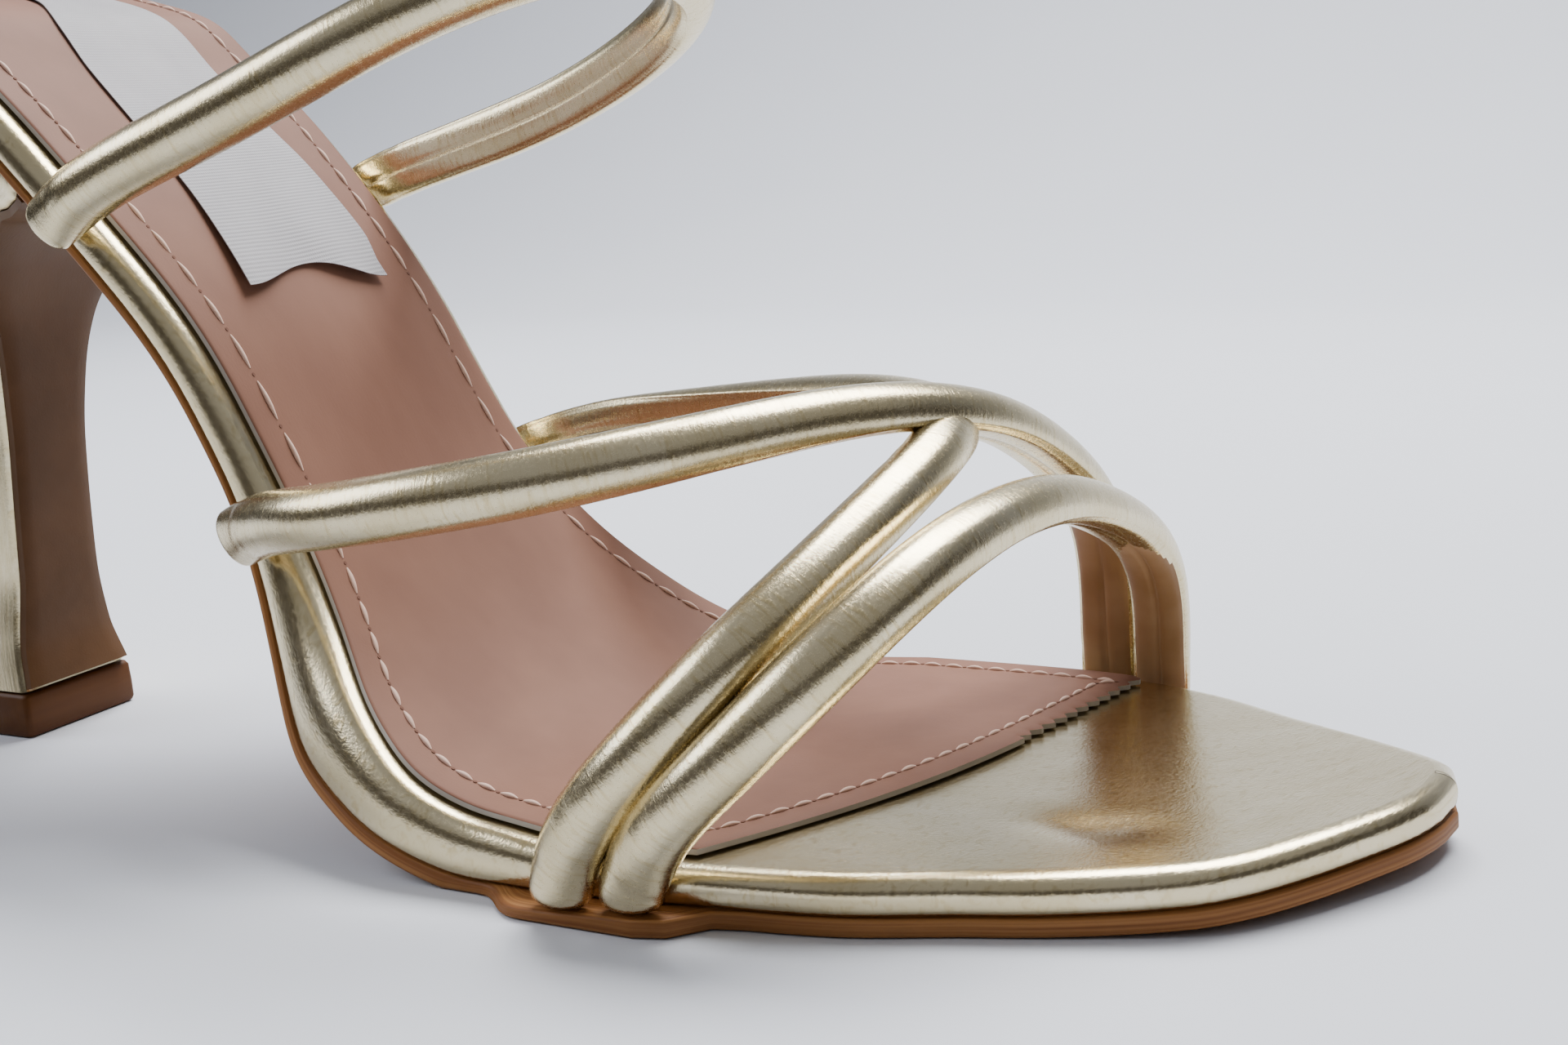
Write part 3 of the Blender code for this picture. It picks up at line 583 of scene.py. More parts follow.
def rounded_ring(angle):
    inset = RAND_RADIUS * (1.0 - math.cos(angle)) * (RAND_ABOVE if angle > 0.0 else RAND_BELOW)
    share = 0.5 - 0.5 * math.sin(angle)
    return (inset, lambda s: FOOTBED_TOP + (footbed_under(s) - FOOTBED_TOP) * share, 0.0)


def footbed_relief(x, y):
    """Shallow dent under the big toe and the foam's soft unevenness."""
    along, across = x - DENT_PLACE[0], y - DENT_PLACE[1]
    near = (along / (DENT_RADIUS * 1.7)) ** 2 + (across / DENT_RADIUS) ** 2
    soft = noise.noise(Vector((x * FOAM_PER_METRE, y * FOAM_PER_METRE, 3.0)))
    return -DENT_DEPTH * math.exp(-near) + FOAM_UNEVENNESS * soft


rings = [rounded_ring(math.radians(90.0 - 12.0 * k)) for k in range(16)]
footbed = foot_plate("footbed_wrapped", plate_stations(), rings, 70, footbed_foil,
                     relief=footbed_relief)
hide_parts("footbed")

# %% [markdown]
# ## The outsole
# A thin moulded sheet under the footbed. It swells out under each strap end, where the strap is
# tucked between the two, and lies flat on the floor under the ball of the foot. Separate lumps
# would leave scallops between two near straps, so their shares are summed into one swelling.


# %% Outsole
OUTSOLE_INSET, OUTSOLE_START, OUTSOLE_EDGE = 0.0004, 0.2900, 0.0003
STRAP_WIDTH, STRAP_END_THICKNESS, STRAP_CLEARANCE = 0.0070, 0.0030, 0.0004
# Station and side of the strap ends that stand on the outsole
STANDING_ENDS = [(0.785, 1.0), (0.635, -1.0), (0.671, -1.0), (0.818, 1.0)]


def outsole_growth(station, side):
    """How far the sole's edge stands out from the footbed's."""
    reach = STRAP_CLEARANCE + STRAP_END_THICKNESS
    inset = min(OUTSOLE_INSET, 0.15 * half_width(station))
    share = 0.0
    for place, end_side in STANDING_ENDS:
        if end_side * side > 0:
            away = abs(station - place) * LENGTH / (STRAP_WIDTH * 0.5)
            fade = min(max((2.9 - away) / 2.3, 0.0), 1.0)
            share += fade * fade * (3 - 2 * fade)
    share = min(share, 1.0)
    return (reach + inset) * share * share * (3 - 2 * share) - inset


def sole_ring(inset, share, down, lowest):
    """Ring at a share of the sole's thickness; the other three are counted in edge widths."""
    def depth(s):
        return (outsole_top(s) + (outsole_under(s) - outsole_top(s)) * share
                + OUTSOLE_EDGE * down)
    return (OUTSOLE_EDGE * inset, depth, OUTSOLE_EDGE * lowest)


rings = [sole_ring(1.0, 0.0, 0.0, 1.0), sole_ring(0.3, 0.0, 0.3, 1.0)]
rings += [sole_ring(0.0, k / 3, 1.0 - 2.0 * k / 3, 1.0) for k in range(4)]
rings += [sole_ring(0.3, 1.0, -0.3, 0.3), sole_ring(1.0, 1.0, 0.0, 0.0)]
outsole = foot_plate("outsole_moulded", plate_stations(OUTSOLE_START, 260), rings, 12,
                     sole_rubber, grow=outsole_growth)
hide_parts("outsole")

# %% [markdown]
# ## The sock lining
# The nude sheet is glued on the footbed 3 mm inside its edge. Its cut edge shows the grey
# backing. Behind the toes it ends on a slant; the inner half of that edge is cut with pinking
# shears into small teeth. A shrinkwrap could lay a flat cut on the footbed, but a grid made on
# the foot line keeps points close together where the knife rounded the edge.


# %% Outline of the sock lining
SOCK_INSET, SOCK_SKEW_START, SOCK_END_OUTER, SOCK_END_INNER = 0.0031, 0.6330, 0.6970, 0.8190
SOCK_END_BOW = 0.026
PINKING_PITCH, PINKING_DEPTH, PINKING_START = 0.0025, 0.0011, 0.62


def sock_side(station, side):
    """Edge of the sock in plan at a station: the footbed's outline moved inward."""
    step = 0.002
    run = (edge_point(station + step, side) - edge_point(station - step, side)).normalized()
    return edge_point(station, side) + Vector((run.y, -run.x, 0.0)) * side * SOCK_INSET


def slanted_point(outer_station, inner_station, v, bow):
    """Point of a row from the outer side, v = 0, to the inner side, v = 1."""
    place = sock_side(outer_station, -1).lerp(sock_side(inner_station, 1), v)
    place.x += SOCK_END_BOW * LENGTH * math.sin(math.pi * v) * (1.0 - 0.55 * v) * bow
    return place


def toe_edge(v, teeth=True):
    """Front edge of the sock, with its teeth or as the stitches follow it."""
    place = slanted_point(SOCK_END_OUTER, SOCK_END_INNER, v, 1.0)
    if teeth and v > PINKING_START:
        phase = (v * TOE_EDGE_LENGTH / PINKING_PITCH) % 1.0
        place.x -= PINKING_DEPTH * (1.0 - abs(2.0 * phase - 1.0))
    return place


TOE_EDGE_LENGTH = (sock_side(SOCK_END_INNER, 1) - sock_side(SOCK_END_OUTER, -1)).length
print("toe edge of the sock is", round(TOE_EDGE_LENGTH / MM), "mm across")

# %% Grid of the sock lining
SOCK_COLUMNS, TOE_ROWS = 150, 26
def column_shares(width):
    """Shares across a row: close together at both cut edges, even between them."""
    edge = [0.0, 0.00012, 0.0004, 0.0009]
    inner = [(0.0015 + (width - 0.003) * k / (SOCK_COLUMNS - 8)) / width
             for k in range(SOCK_COLUMNS - 7)]
    return [e / width for e in edge] + inner + [1.0 - e / width for e in reversed(edge)]


grid = []
first = SOCK_INSET / LENGTH
backs = [first + (BACK_STATION - first) * (i / 16) ** 1.7 for i in range(16)]
backs += [BACK_STATION + (SOCK_SKEW_START - BACK_STATION) * i / 110 for i in range(111)]
for s in backs:
    outer, inner = sock_side(s, -1), sock_side(s, 1)
    shares = column_shares(max((inner - outer).length, 0.004))
    grid.append([outer.lerp(inner, share) for share in shares])
for j in range(1, TOE_ROWS + 1):
    t = j / TOE_ROWS
    outer_end = SOCK_SKEW_START + (SOCK_END_OUTER - SOCK_SKEW_START) * t
    inner_end = SOCK_SKEW_START + (SOCK_END_INNER - SOCK_SKEW_START) * t
    grid.append([slanted_point(outer_end, inner_end, v, t * t) for v in shares])
grid[-1] = [toe_edge(v) for v in shares]
print("sock grid:", len(grid), "rows of", len(shares), "points")

# %% Sock lining
# How deep the knife pressed the edge down: at the cut, and at the next points inward
EDGE_DROPS = (0.00022, 0.00008, 0.00002, 0.0)
LINING_UNEVENNESS, LINING_PER_METRE = 0.00006, 60.0


def sock_point(place, lift):
    return under_foot(place.x, place.y, 0.0) + lift * up_direction(place.x)


top, bottom, uvs = [], [], []
rows, columns = len(grid), len(grid[0])
for j, row in enumerate(grid):
    for k, place in enumerate(row):
        drop = EDGE_DROPS[0 if j == rows - 1 else min(k, columns - 1 - k, 3)]
        soft = noise.noise(Vector((place.x * LINING_PER_METRE, place.y * LINING_PER_METRE, 9.0)))
        top.append(sock_point(place, LINING_UNEVENNESS * soft - drop))
        bottom.append(under_foot(place.x, place.y, SOCK_THICKNESS))
        uvs.append((place.x, place.y))
uvs += [(x, y + SOCK_THICKNESS) for x, y in uvs]
faces = sheet_faces(rows, columns)
slots = [0, 1] * ((rows - 1) * (columns - 1))
slots += [1] * (len(faces) - len(slots))
sock = make_piece("sock_lining_sheet", top + bottom, faces, [sock_lining, raw_edge], uvs,
                  slots, 40.0)
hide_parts("insole_sock")

# %% [markdown]
# ## Stitches
# A lockstitch shows as short rounded dashes with a needle hole between them, 3.6 mm from the cut
# edge. A curve with an array could carry them; here each dash is a small spindle of its own,
# thick in the middle and diving into the sheet at both ends, and each hole a disc of painted shade.


# %% Seam line
STITCH_INSET, STITCH_PITCH, STITCH_RADIUS = 0.0036, 0.0029, 0.00029


def stitch_line():
    """Plan points of the seam: up the outer side, across the toe edge and back."""
    sides = {-1: [], 1: []}
    for i in range(260):
        s = 0.03 + (SOCK_END_INNER - 0.03) * i / 259
        for side, end in ((-1, SOCK_END_OUTER), (1, SOCK_END_INNER)):
            if s <= end - 0.012:
                edge = sock_side(s, side)
                across = sock_side(s, -side) - edge
                sides[side].append(edge + across.normalized() * STITCH_INSET)
    inward = Vector((-STITCH_INSET, 0.0, 0.0))
    front = [toe_edge(0.08 + 0.86 * i / 79, teeth=False) + inward for i in range(80)]
    return sides[-1] + front + sides[1][::-1]
def even_points(points, pitch):
    picked, carried = [points[0]], 0.0
    for a, b in zip(points, points[1:]):
        length = (b - a).length
        while carried + length >= pitch:
            share = (pitch - carried) / length
            a = a.lerp(b, share)
            length = (b - a).length
            carried = 0.0
            picked.append(a.copy())
        carried += length
    return picked


seam = even_points(stitch_line(), STITCH_PITCH)
print("stitches:", len(seam) - 1)

# %% Stitches and needle holes
STITCH_ROWS, STITCH_SIDES, HOLE_SIDES = 7, 8, 10
HOLE_LONG, HOLE_WIDE = 0.00024, 0.00020
verts, uvs, faces = [], [], []
hole_verts, hole_uvs, hole_faces = [], [], []
for a, b in zip(seam, seam[1:]):
    start, end = sock_point(a.lerp(b, 0.13), 0.0), sock_point(a.lerp(b, 0.87), 0.0)
    up = up_direction((a.x + b.x) / 2.0)
    across = (end - start).cross(up).normalized()
    faces += tube_faces(STITCH_ROWS, STITCH_SIDES, len(verts))
    for r in range(STITCH_ROWS):
        t = r / (STITCH_ROWS - 1)
        swell = math.sin(math.pi * min(max(t, 0.04), 0.96)) ** 0.5
        centre = start.lerp(end, t) + up * (0.00016 * swell - 0.00006)
        for k in range(STITCH_SIDES):
            turn = 2.0 * math.pi * k / STITCH_SIDES
            out = across * math.cos(turn) + up * math.sin(turn)
            verts.append(centre + out * STITCH_RADIUS * swell)
            uvs.append((t * STITCH_PITCH, k * 0.0002))
    along = (end - start).normalized()
    side = along.cross(up_direction(a.x)).normalized()
    hole_faces += tube_faces(2, HOLE_SIDES, len(hole_verts))
    for lift in (0.00007, -0.00027):
        for k in range(HOLE_SIDES):
            turn = 2.0 * math.pi * k / HOLE_SIDES
            flat = along * math.cos(turn) * HOLE_LONG + side * math.sin(turn) * HOLE_WIDE
            hole_verts.append(sock_point(a, lift) + flat)
            hole_uvs.append((0.0, 0.0))
stitches = make_piece("sock_stitches", verts, faces, [stitch_thread], uvs)
holes = make_piece("sock_needle_holes", hole_verts, hole_faces, [needle_hole], hole_uvs)

# %% [markdown]
# ## Rolled tube straps
# Each strap is a strip of foil leather rolled round a soft cord and closed on the foot side with
# a lining strip, whose two edges meet in a seam. A Blender curve with a round bevel would make
# the tube, but not the flatter lined side, the tuck at the ends or the creases. So the path is
# computed here, and the skin is laid round it in the next step.

# %% Strap table
STRAP_THICKNESS, STRAP_TAPER, STRAP_STAND = 0.0053, 0.0095, 0.0047
STRAP_RISE, CORE_RISE = 0.0376, 0.35
# Share of the outer legs' upright part that the inner legs at the arch keep
INNER_STAND = 0.25
# Rows: station, sideways share of the half width, height as a share of the straps' rise
STRAPS = {
    "strap_waist_to_toe": {
        "start": (0.430, -1.0),
        "rows": [(0.469, -1.00, 0.28), (0.500, -0.94, 0.49), (0.553, -0.85, 0.76),
                 (0.597, -0.81, 0.89), (0.663, -0.60, 1.00), (0.736, -0.11, 1.04),
                 (0.756, 0.10, 1.00), (0.770, 0.32, 0.93), (0.779, 0.60, 0.77),
                 (0.787, 0.82, 0.60), (0.787, 0.95, 0.40)],
        "end": (0.785, 1.0),
    },
    "strap_toe_to_waist": {
        "start": (0.635, -1.0),
        "rows": [(0.661, -1.00, 0.16), (0.684, -0.98, 0.30), (0.722, -0.87, 0.54),
                 (0.738, -0.70, 0.66), (0.750, -0.46, 0.77), (0.759, -0.24, 0.86),
                 (0.762, -0.04, 0.93), (0.752, 0.18, 0.96), (0.718, 0.39, 0.97),
                 (0.668, 0.57, 0.96), (0.579, 0.84, 0.82), (0.506, 1.00, 0.52),
                 (0.472, 1.03, 0.31)],
        "end": (0.441, 1.0),
    },
    "strap_front": {
        "start": (0.671, -1.0),
        "rows": [(0.704, -1.00, 0.18), (0.732, -0.98, 0.33), (0.761, -0.89, 0.51),
                 (0.780, -0.75, 0.64), (0.791, -0.55, 0.72), (0.803, -0.25, 0.77),
                 (0.810, -0.02, 0.76), (0.815, 0.25, 0.70), (0.820, 0.45, 0.62),
                 (0.823, 0.71, 0.50), (0.824, 0.88, 0.35)],
        "end": (0.818, 1.0),
    },
}
print("straps:", list(STRAPS))


# %% Strap paths
def seat_offset(station, thickness):
    reach = 0.5 * STRAP_WIDTH / LENGTH
    half = max(half_width(station - reach), half_width(station), half_width(station + reach))
    return half + STRAP_CLEARANCE + thickness * 0.5


def strap_depth(away):
    """Thickness of the tube: pressed flat at its end, full a little further on."""
    share = min(away / STRAP_TAPER, 1.0)
    fuller = (STRAP_THICKNESS - STRAP_END_THICKNESS) * share * share * (3 - 2 * share)
    return STRAP_END_THICKNESS + fuller


def stand_direction(station):
    """The way a leg leaves the sole: upright, seen across the foot."""
    along = up_direction(station * LENGTH)
    return Vector((along.x / along.z, -cross_slope(station), 1.0)).normalized()


def seat_point(station, side, lift):
    x = station * LENGTH
    y = middle(station) + side * seat_offset(station, strap_depth(lift))
    foot = under_foot(x, y, outsole_top(station) - STRAP_CLEARANCE)
    return foot + lift * stand_direction(station)


def curve_through(points, step=0.0005):
    """Evenly spaced points on a smooth curve, relaxed so that its bend never jumps."""
    ext = [2 * points[0] - points[1]] + points + [2 * points[-1] - points[-2]]
    dense = []
    for i in range(1, len(ext) - 2):
        a, b, c, d = ext[i - 1:i + 3]
        t1 = max((b - a).length, 1e-6) ** 0.5
        t2 = t1 + max((c - b).length, 1e-6) ** 0.5
        t3 = t2 + max((d - c).length, 1e-6) ** 0.5
        for k in range(24):
            t = t1 + (t2 - t1) * k / 24
            ab, bc = a.lerp(b, t / t1), b.lerp(c, (t - t1) / (t2 - t1))
            cd = c.lerp(d, (t - t2) / (t3 - t2))
            abc, bcd = ab.lerp(bc, t / t2), bc.lerp(cd, (t - t1) / (t3 - t1))
            dense.append(abc.lerp(bcd, (t - t1) / (t2 - t1)))
    dense.append(points[-1])
    even = even_points(dense, step)
    for _ in range(300):
        inner = [(even[i - 1] + 2.0 * even[i] + even[i + 1]) / 4.0 for i in range(1, len(even) - 1)]
        even = [even[0]] + inner + [even[-1]]
    return even


def strap_path(strap):
    points = [seat_point(*strap["start"], 0.0), seat_point(*strap["start"], STRAP_STAND)]
    for station, reach, rise in strap["rows"]:
        x = station * LENGTH
        y = middle(station) + reach * seat_offset(station, STRAP_THICKNESS)
        points.append(Vector((x, y, insole_height(x) + rise * STRAP_RISE)))
    low = INNER_STAND if strap["end"][0] < 0.5 else 1.0
    points += [seat_point(*strap["end"], STRAP_STAND * low), seat_point(*strap["end"], 0.0)]
    return curve_through(points)


def foot_core(point):
    height = insole_height(point.x) + CORE_RISE * STRAP_RISE
    return Vector((point.x, middle(point.x / LENGTH), min(height, point.z)))

# %% Instep loop path
LOOP_STATION, LOOP_REACH, LOOP_LEAN = 0.3290, 0.0715, math.radians(20.0)
LOOP_CURL, LOOP_DROP, LOOP_ROUNDNESS, LOOP_CORE = 0.0040, 0.0085, 2.5, 0.45


def loop_path():
    """Leaning arch over the instep, and the line inside the foot that its lining faces."""
    legs = [seat_point(LOOP_STATION, -1.0, 0.0), seat_point(LOOP_STATION, 1.0, 0.0)]
    centre = (legs[0] + legs[1]) / 2.0
    half = seat_offset(LOOP_STATION, STRAP_THICKNESS) + STRAP_CLEARANCE
    side = (legs[1] - legs[0]).normalized() * half
    lean = Vector((math.cos(LOOP_LEAN), 0.0, math.sin(LOOP_LEAN)))
    rise = Vector((-math.sin(LOOP_LEAN), 0.0, math.cos(LOOP_LEAN)))
    power = 2.0 / LOOP_ROUNDNESS
    points = []
    for k in range(2, 15):
        angle = math.pi * k / 16
        across = -math.copysign(abs(math.cos(angle)) ** power, math.cos(angle))
        reach = math.sin(angle) ** power
        lift = LOOP_CURL * reach * reach - LOOP_DROP * reach * (1.0 + across) / 2.0
        points.append(centre + side * across + lean * (LOOP_REACH * reach) + rise * lift)
    stand = STRAP_STAND * 0.8
    points = [legs[0], seat_point(LOOP_STATION, -1.0, stand)] + points
    points += [seat_point(LOOP_STATION, 1.0, stand * INNER_STAND), legs[1]]
    path = curve_through(points)
    cores = []
    for point in path:
        away = point - centre
        along = min(away.dot(lean), LOOP_REACH * LOOP_CORE)
        cores.append(centre + lean * along + rise * away.dot(rise))
    return path, cores

loop_line, loop_cores = loop_path()
print("top of the loop is", round(max(p.z for p in loop_line) / MM), "mm above the floor")

# %% [markdown]
# ## The tube's skin
# Three kinds of wrinkle are laid on it: a few listed creases near the ends, soft
# swellings from the cord inside, and a fine crinkle on the lower flank. Cloth simulation would
# put folds where it likes; the real ones sit where the strap is pulled into the sole.


# %% Section of a strap
STRAP_LINING_SHARE, LINING_LIMIT = 0.34, 0.45
SEAM_DEPTH, SEAM_HALF_WIDTH, LIP_DEPTH = 0.0003, 0.00035, 0.00018


def section_depth(flat, wide, thickness):
    """Place of the skin toward the foot: a round back, and a flatter lined side with a seam."""
    if flat > 0.0:
        deep = thickness * STRAP_LINING_SHARE * flat ** 0.55
        deep -= SEAM_DEPTH * math.exp(-((wide * STRAP_WIDTH * 0.5) / SEAM_HALF_WIDTH) ** 2)
        deep -= LIP_DEPTH * math.exp(-((flat - LINING_LIMIT) / 0.10) ** 2)
    else:
        deep = thickness * (1.0 - STRAP_LINING_SHARE) * flat
    return deep - thickness * (STRAP_LINING_SHARE - 0.5)
def crease_depth(reached, length, wide, creases):
    """Depth of the listed creases at a place along the strap and round it."""
    depth = 0.0
    for place, size_mm, width_mm, side in creases:
        at = place * MM if place >= 0 else length + place * MM
        reach = math.exp(-((reached - at - 0.0011 * wide) / (width_mm * MM)) ** 2)
        depth += size_mm * MM * reach * max(0.0, 1.0 - 0.7 * abs(wide - side))
    return depth


def skin_growth(reached, length, flat, wide, creases, seed):
    """Swellings and crinkle, less the creases, as a distance outward."""
    swell = noise.noise(Vector((reached * 60.0, seed, flat))) * 0.00007
    fine = noise.noise(Vector((reached * 900.0, flat * 1.6 + seed, wide * 1.6)))
    flank = 0.35 + 0.65 * max(0.0, 1.0 - abs(flat + 0.25) * 1.6)
    grow = swell + fine * 0.000018 * flank * (flat < LINING_LIMIT)
    return grow - crease_depth(reached, length, wide, creases) * (flat < 0.5)


print("strap section:", round(STRAP_WIDTH / MM, 1), "by", round(STRAP_THICKNESS / MM, 1), "mm")

# %% Strap skin
SKIN_SIDES = 48
TUCK_LENGTH, TUCK_SIZE, LINING_TONGUE = 0.0018, 0.60, 0.010


def strap_frames(path, cores, stations, near_ends):
    """At each point of the path: across the strap, and toward the foot."""
    last = len(path) - 1
    ins = [(core - point).normalized() for core, point in zip(cores, path)]
    for _ in range(40):
        ins[1:-1] = [(ins[i - 1] + ins[i] + ins[i + 1]).normalized() for i in range(1, last)]
    frames = []
    for i, near_end in enumerate(near_ends):
        run = (path[min(i + 1, last)] - path[max(i - 1, 0)]).normalized()
        standing = (stand_direction(stations[0]) if i < len(path) / 2
                    else -stand_direction(stations[1]))
        run = standing.lerp(run, min(near_end / 0.004, 1.0)).normalized()
        inward = (ins[i] - run * ins[i].dot(run)).normalized()
        frames.append((run.cross(inward), inward))
    return frames


def skin(name, path, cores, stations, creases, seed, lined=0.0):
    """Tube of leather along a path; lined is the length at its end where the lining shows."""
    reached = [0.0]
    for p, q in zip(path, path[1:]):
        reached.append(reached[-1] + (q - p).length)
    length = reached[-1]
    near_ends = [min(along, length - along) for along in reached]
    turns = [2.0 * math.pi * k / SKIN_SIDES for k in range(SKIN_SIDES)]
    verts, uvs, slots = [], [], []
    for i, (across, inward) in enumerate(strap_frames(path, cores, stations, near_ends)):
        thickness = strap_depth(near_ends[i])
        rounding = math.sqrt(1.0 - (1.0 - min(near_ends[i] / TUCK_LENGTH, 1.0)) ** 2)
        tuck = TUCK_SIZE + (1.0 - TUCK_SIZE) * rounding
        for k, turn in enumerate(turns):
            flat, wide = math.cos(turn), math.sin(turn)
            offset = across * (wide * STRAP_WIDTH * 0.5)
            offset += inward * section_depth(flat, wide, thickness)
            grow = skin_growth(reached[i], length, flat, wide, creases, seed)
            verts.append(path[i] + (offset + offset.normalized() * grow) * tuck)
            uvs.append((reached[i], k / SKIN_SIDES * 0.0195))
    for along in reached[:-1]:
        left = length - along - lined + LINING_TONGUE
        tongue = min(max(left / LINING_TONGUE, 0.0), 1.0)
        limit = LINING_LIMIT + (1.01 - LINING_LIMIT) * tongue
        slots += [int(math.cos(turn + math.pi / SKIN_SIDES) > limit) for turn in turns]
    slots += [0, 0]
    piece = make_piece(name, verts, tube_faces(len(path), SKIN_SIDES),
                       [strap_foil, strap_lining], uvs, slots, 70.0)
    print(name, "is", round(length / MM), "mm long")
    return piece


# %% Straps
# Creases: place in mm from the start (negative: from the end), depth, width, side of the tube
CREASES = {
    "strap_waist_to_toe": [(5, 0.10, 1.0, 0.6), (8, 0.08, 0.8, -0.4), (12, 0.06, 0.9, 0.5),
                           (-7, 0.12, 0.9, 0.3), (-11, 0.1, 0.8, -0.5), (-30, 0.08, 0.9, 0.8)],
    "strap_toe_to_waist": [(3.5, 0.12, 0.9, 0.3), (7.5, 0.08, 0.8, -0.5), (11, 0.06, 0.8, 0.6),
                           (-6, 0.12, 0.9, 0.2), (-10, 0.1, 0.9, -0.6), (62, 0.07, 1.0, 0.9),
                           (66, 0.07, 1.0, 0.9)],
    "strap_front": [(3.5, 0.12, 0.9, -0.4), (7, 0.08, 0.8, 0.5), (10.5, 0.06, 0.8, -0.2),
                    (-5, 0.12, 0.9, 0.1), (-9, 0.1, 0.8, 0.7)],
    "strap_instep_loop": [(5, 0.1, 0.9, 0.5), (9, 0.06, 0.9, -0.5), (-5, 0.12, 0.9, -0.3),
                          (-9, 0.08, 0.9, 0.5)],
}
# The inner legs of these two are lined where the big toe joint rubs
LINED_LEGS = {"strap_waist_to_toe": 0.034, "strap_front": 0.032}
for number, (name, strap) in enumerate(STRAPS.items()):
    path = strap_path(strap)
    ends = (strap["start"][0], strap["end"][0])
    piece = skin(name, path, [foot_core(p) for p in path], ends, CREASES[name], 5.0 * number,
                 LINED_LEGS.get(name, 0.0))
    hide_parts("upper")
loop = skin("strap_instep_loop", loop_line, loop_cores, (LOOP_STATION, LOOP_STATION),
            CREASES["strap_instep_loop"], 31.0)
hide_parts("instep_loop")

# %% [markdown]
# ## The heel
# The heel is a moulded block wrapped in the same foil. Its waist is slim and square, and it
# flares out under the seat. The wrap is folded round the front corners, so they are soft. It
# could be a subdivided box; a table of sections gives the waist and the flare more directly.

# %% Heel sections
# Height share, front and back as shares of the length, half width as a share of the ball's,
# and how square the back is
HEEL_SECTIONS = [
    (0.000, 0.1370, 0.0550, 0.122, 3.6), (0.075, 0.1310, 0.0580, 0.106, 3.6),
    (0.180, 0.1330, 0.0570, 0.090, 3.4), (0.370, 0.1390, 0.0540, 0.087, 3.2),
    (0.490, 0.1450, 0.0440, 0.096, 3.0), (0.575, 0.1520, 0.0330, 0.114, 2.8),
    (0.675, 0.1720, 0.0220, 0.154, 2.6), (0.760, 0.2040, 0.0140, 0.206, 2.5),
    (0.840, 0.2380, 0.0100, 0.258, 2.4), (0.920, 0.2600, 0.0070, 0.298, 2.3),
    (1.000, 0.2600, 0.0060, 0.305, 2.3),
]
heel_front = smooth_line(HEEL_SECTIONS, 1)
heel_back = smooth_line(HEEL_SECTIONS, 2)
heel_half = smooth_line(HEEL_SECTIONS, 3)
heel_square = smooth_line(HEEL_SECTIONS, 4)
TOP_PIECE_HEIGHT, HEEL_CORNER, HEEL_STEPS = 0.0061, 0.0009, 90
HEEL_BASE = TOP_PIECE_HEIGHT + GAP


def rounded_back(front, back, half, corner, power):
    """Plan outline with two soft front corners and a rounded back."""
    turns = [math.pi / 2.0 * i / 4 for i in range(5)]
    flat = half - corner
    line = [(front - corner + corner * math.sin(t), -flat - corner * math.cos(t)) for t in turns]
    line += [(front, flat * (2.0 * i / 6 - 1.0)) for i in range(1, 6)]
    line += [(front - corner + corner * math.cos(t), flat + corner * math.sin(t)) for t in turns]
    for angle in [math.pi * i / 48 for i in range(1, 48)]:
        across = math.copysign(abs(math.cos(angle)) ** power, math.cos(angle))
        depth = (front - corner - back) * math.sin(angle) ** power
        line.append((front - corner - depth, half * across))
    return line


def heel_ceiling(x, y):
    """Height of the outsole's upper side over a place, found by walking along the foot line."""
    foot = x
    for _ in range(12):
        foot = x + outsole_top(foot / LENGTH) * up_direction(foot).x
    return under_foot(foot, y, outsole_top(foot / LENGTH)).z


def heel_spot(level, x, y):
    return Vector((x, y, HEEL_BASE + level * (heel_ceiling(x, y) - HEEL_BASE)))


def heel_shift(level):
    return HEEL_SHIFT + (middle(BACK_STATION) - HEEL_SHIFT) * level * level


print("heel waist is", round(2.0 * heel_half(0.37) * BALL_WIDTH / MM, 1), "mm wide")

# %% Heel block
verts, uvs = [], []
for level in [j / HEEL_STEPS for j in range(HEEL_STEPS + 1)]:
    ring = rounded_back(heel_front(level) * LENGTH, heel_back(level) * LENGTH,
                        heel_half(level) * BALL_WIDTH, HEEL_CORNER, 2.0 / heel_square(level))
    around = 0.0
    for i, (x, y) in enumerate(ring):
        around += math.dist(ring[i - 1], (x, y)) if i else 0.0
        spot = heel_spot(level, x, heel_shift(level) + y)
        verts.append(spot)
        uvs.append((around, spot.z))
heel = make_piece("heel_wrapped", verts, tube_faces(HEEL_STEPS + 1, len(ring)), [heel_foil], uvs)
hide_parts("heel")

# %% [markdown]
# ## The breast cover
# The front of the heel, its breast, is covered with a brown sheet that runs down from the sole;
# its dark colour is partly painted shade.
# A solidify modifier could thicken it, but its sides would stand square; a low crowned section
# along the heel's front lets the sheet thin out at its sides, as glued PU does.

# %% Breast cover
FLAP_THICKNESS, FLAP_INSET, FLAP_FOOT, FLAP_TOP_SHARE = 0.0012, 0.0004, 0.004, 0.9000
COVER_ROWS, COVER_COLUMNS = 90, 12


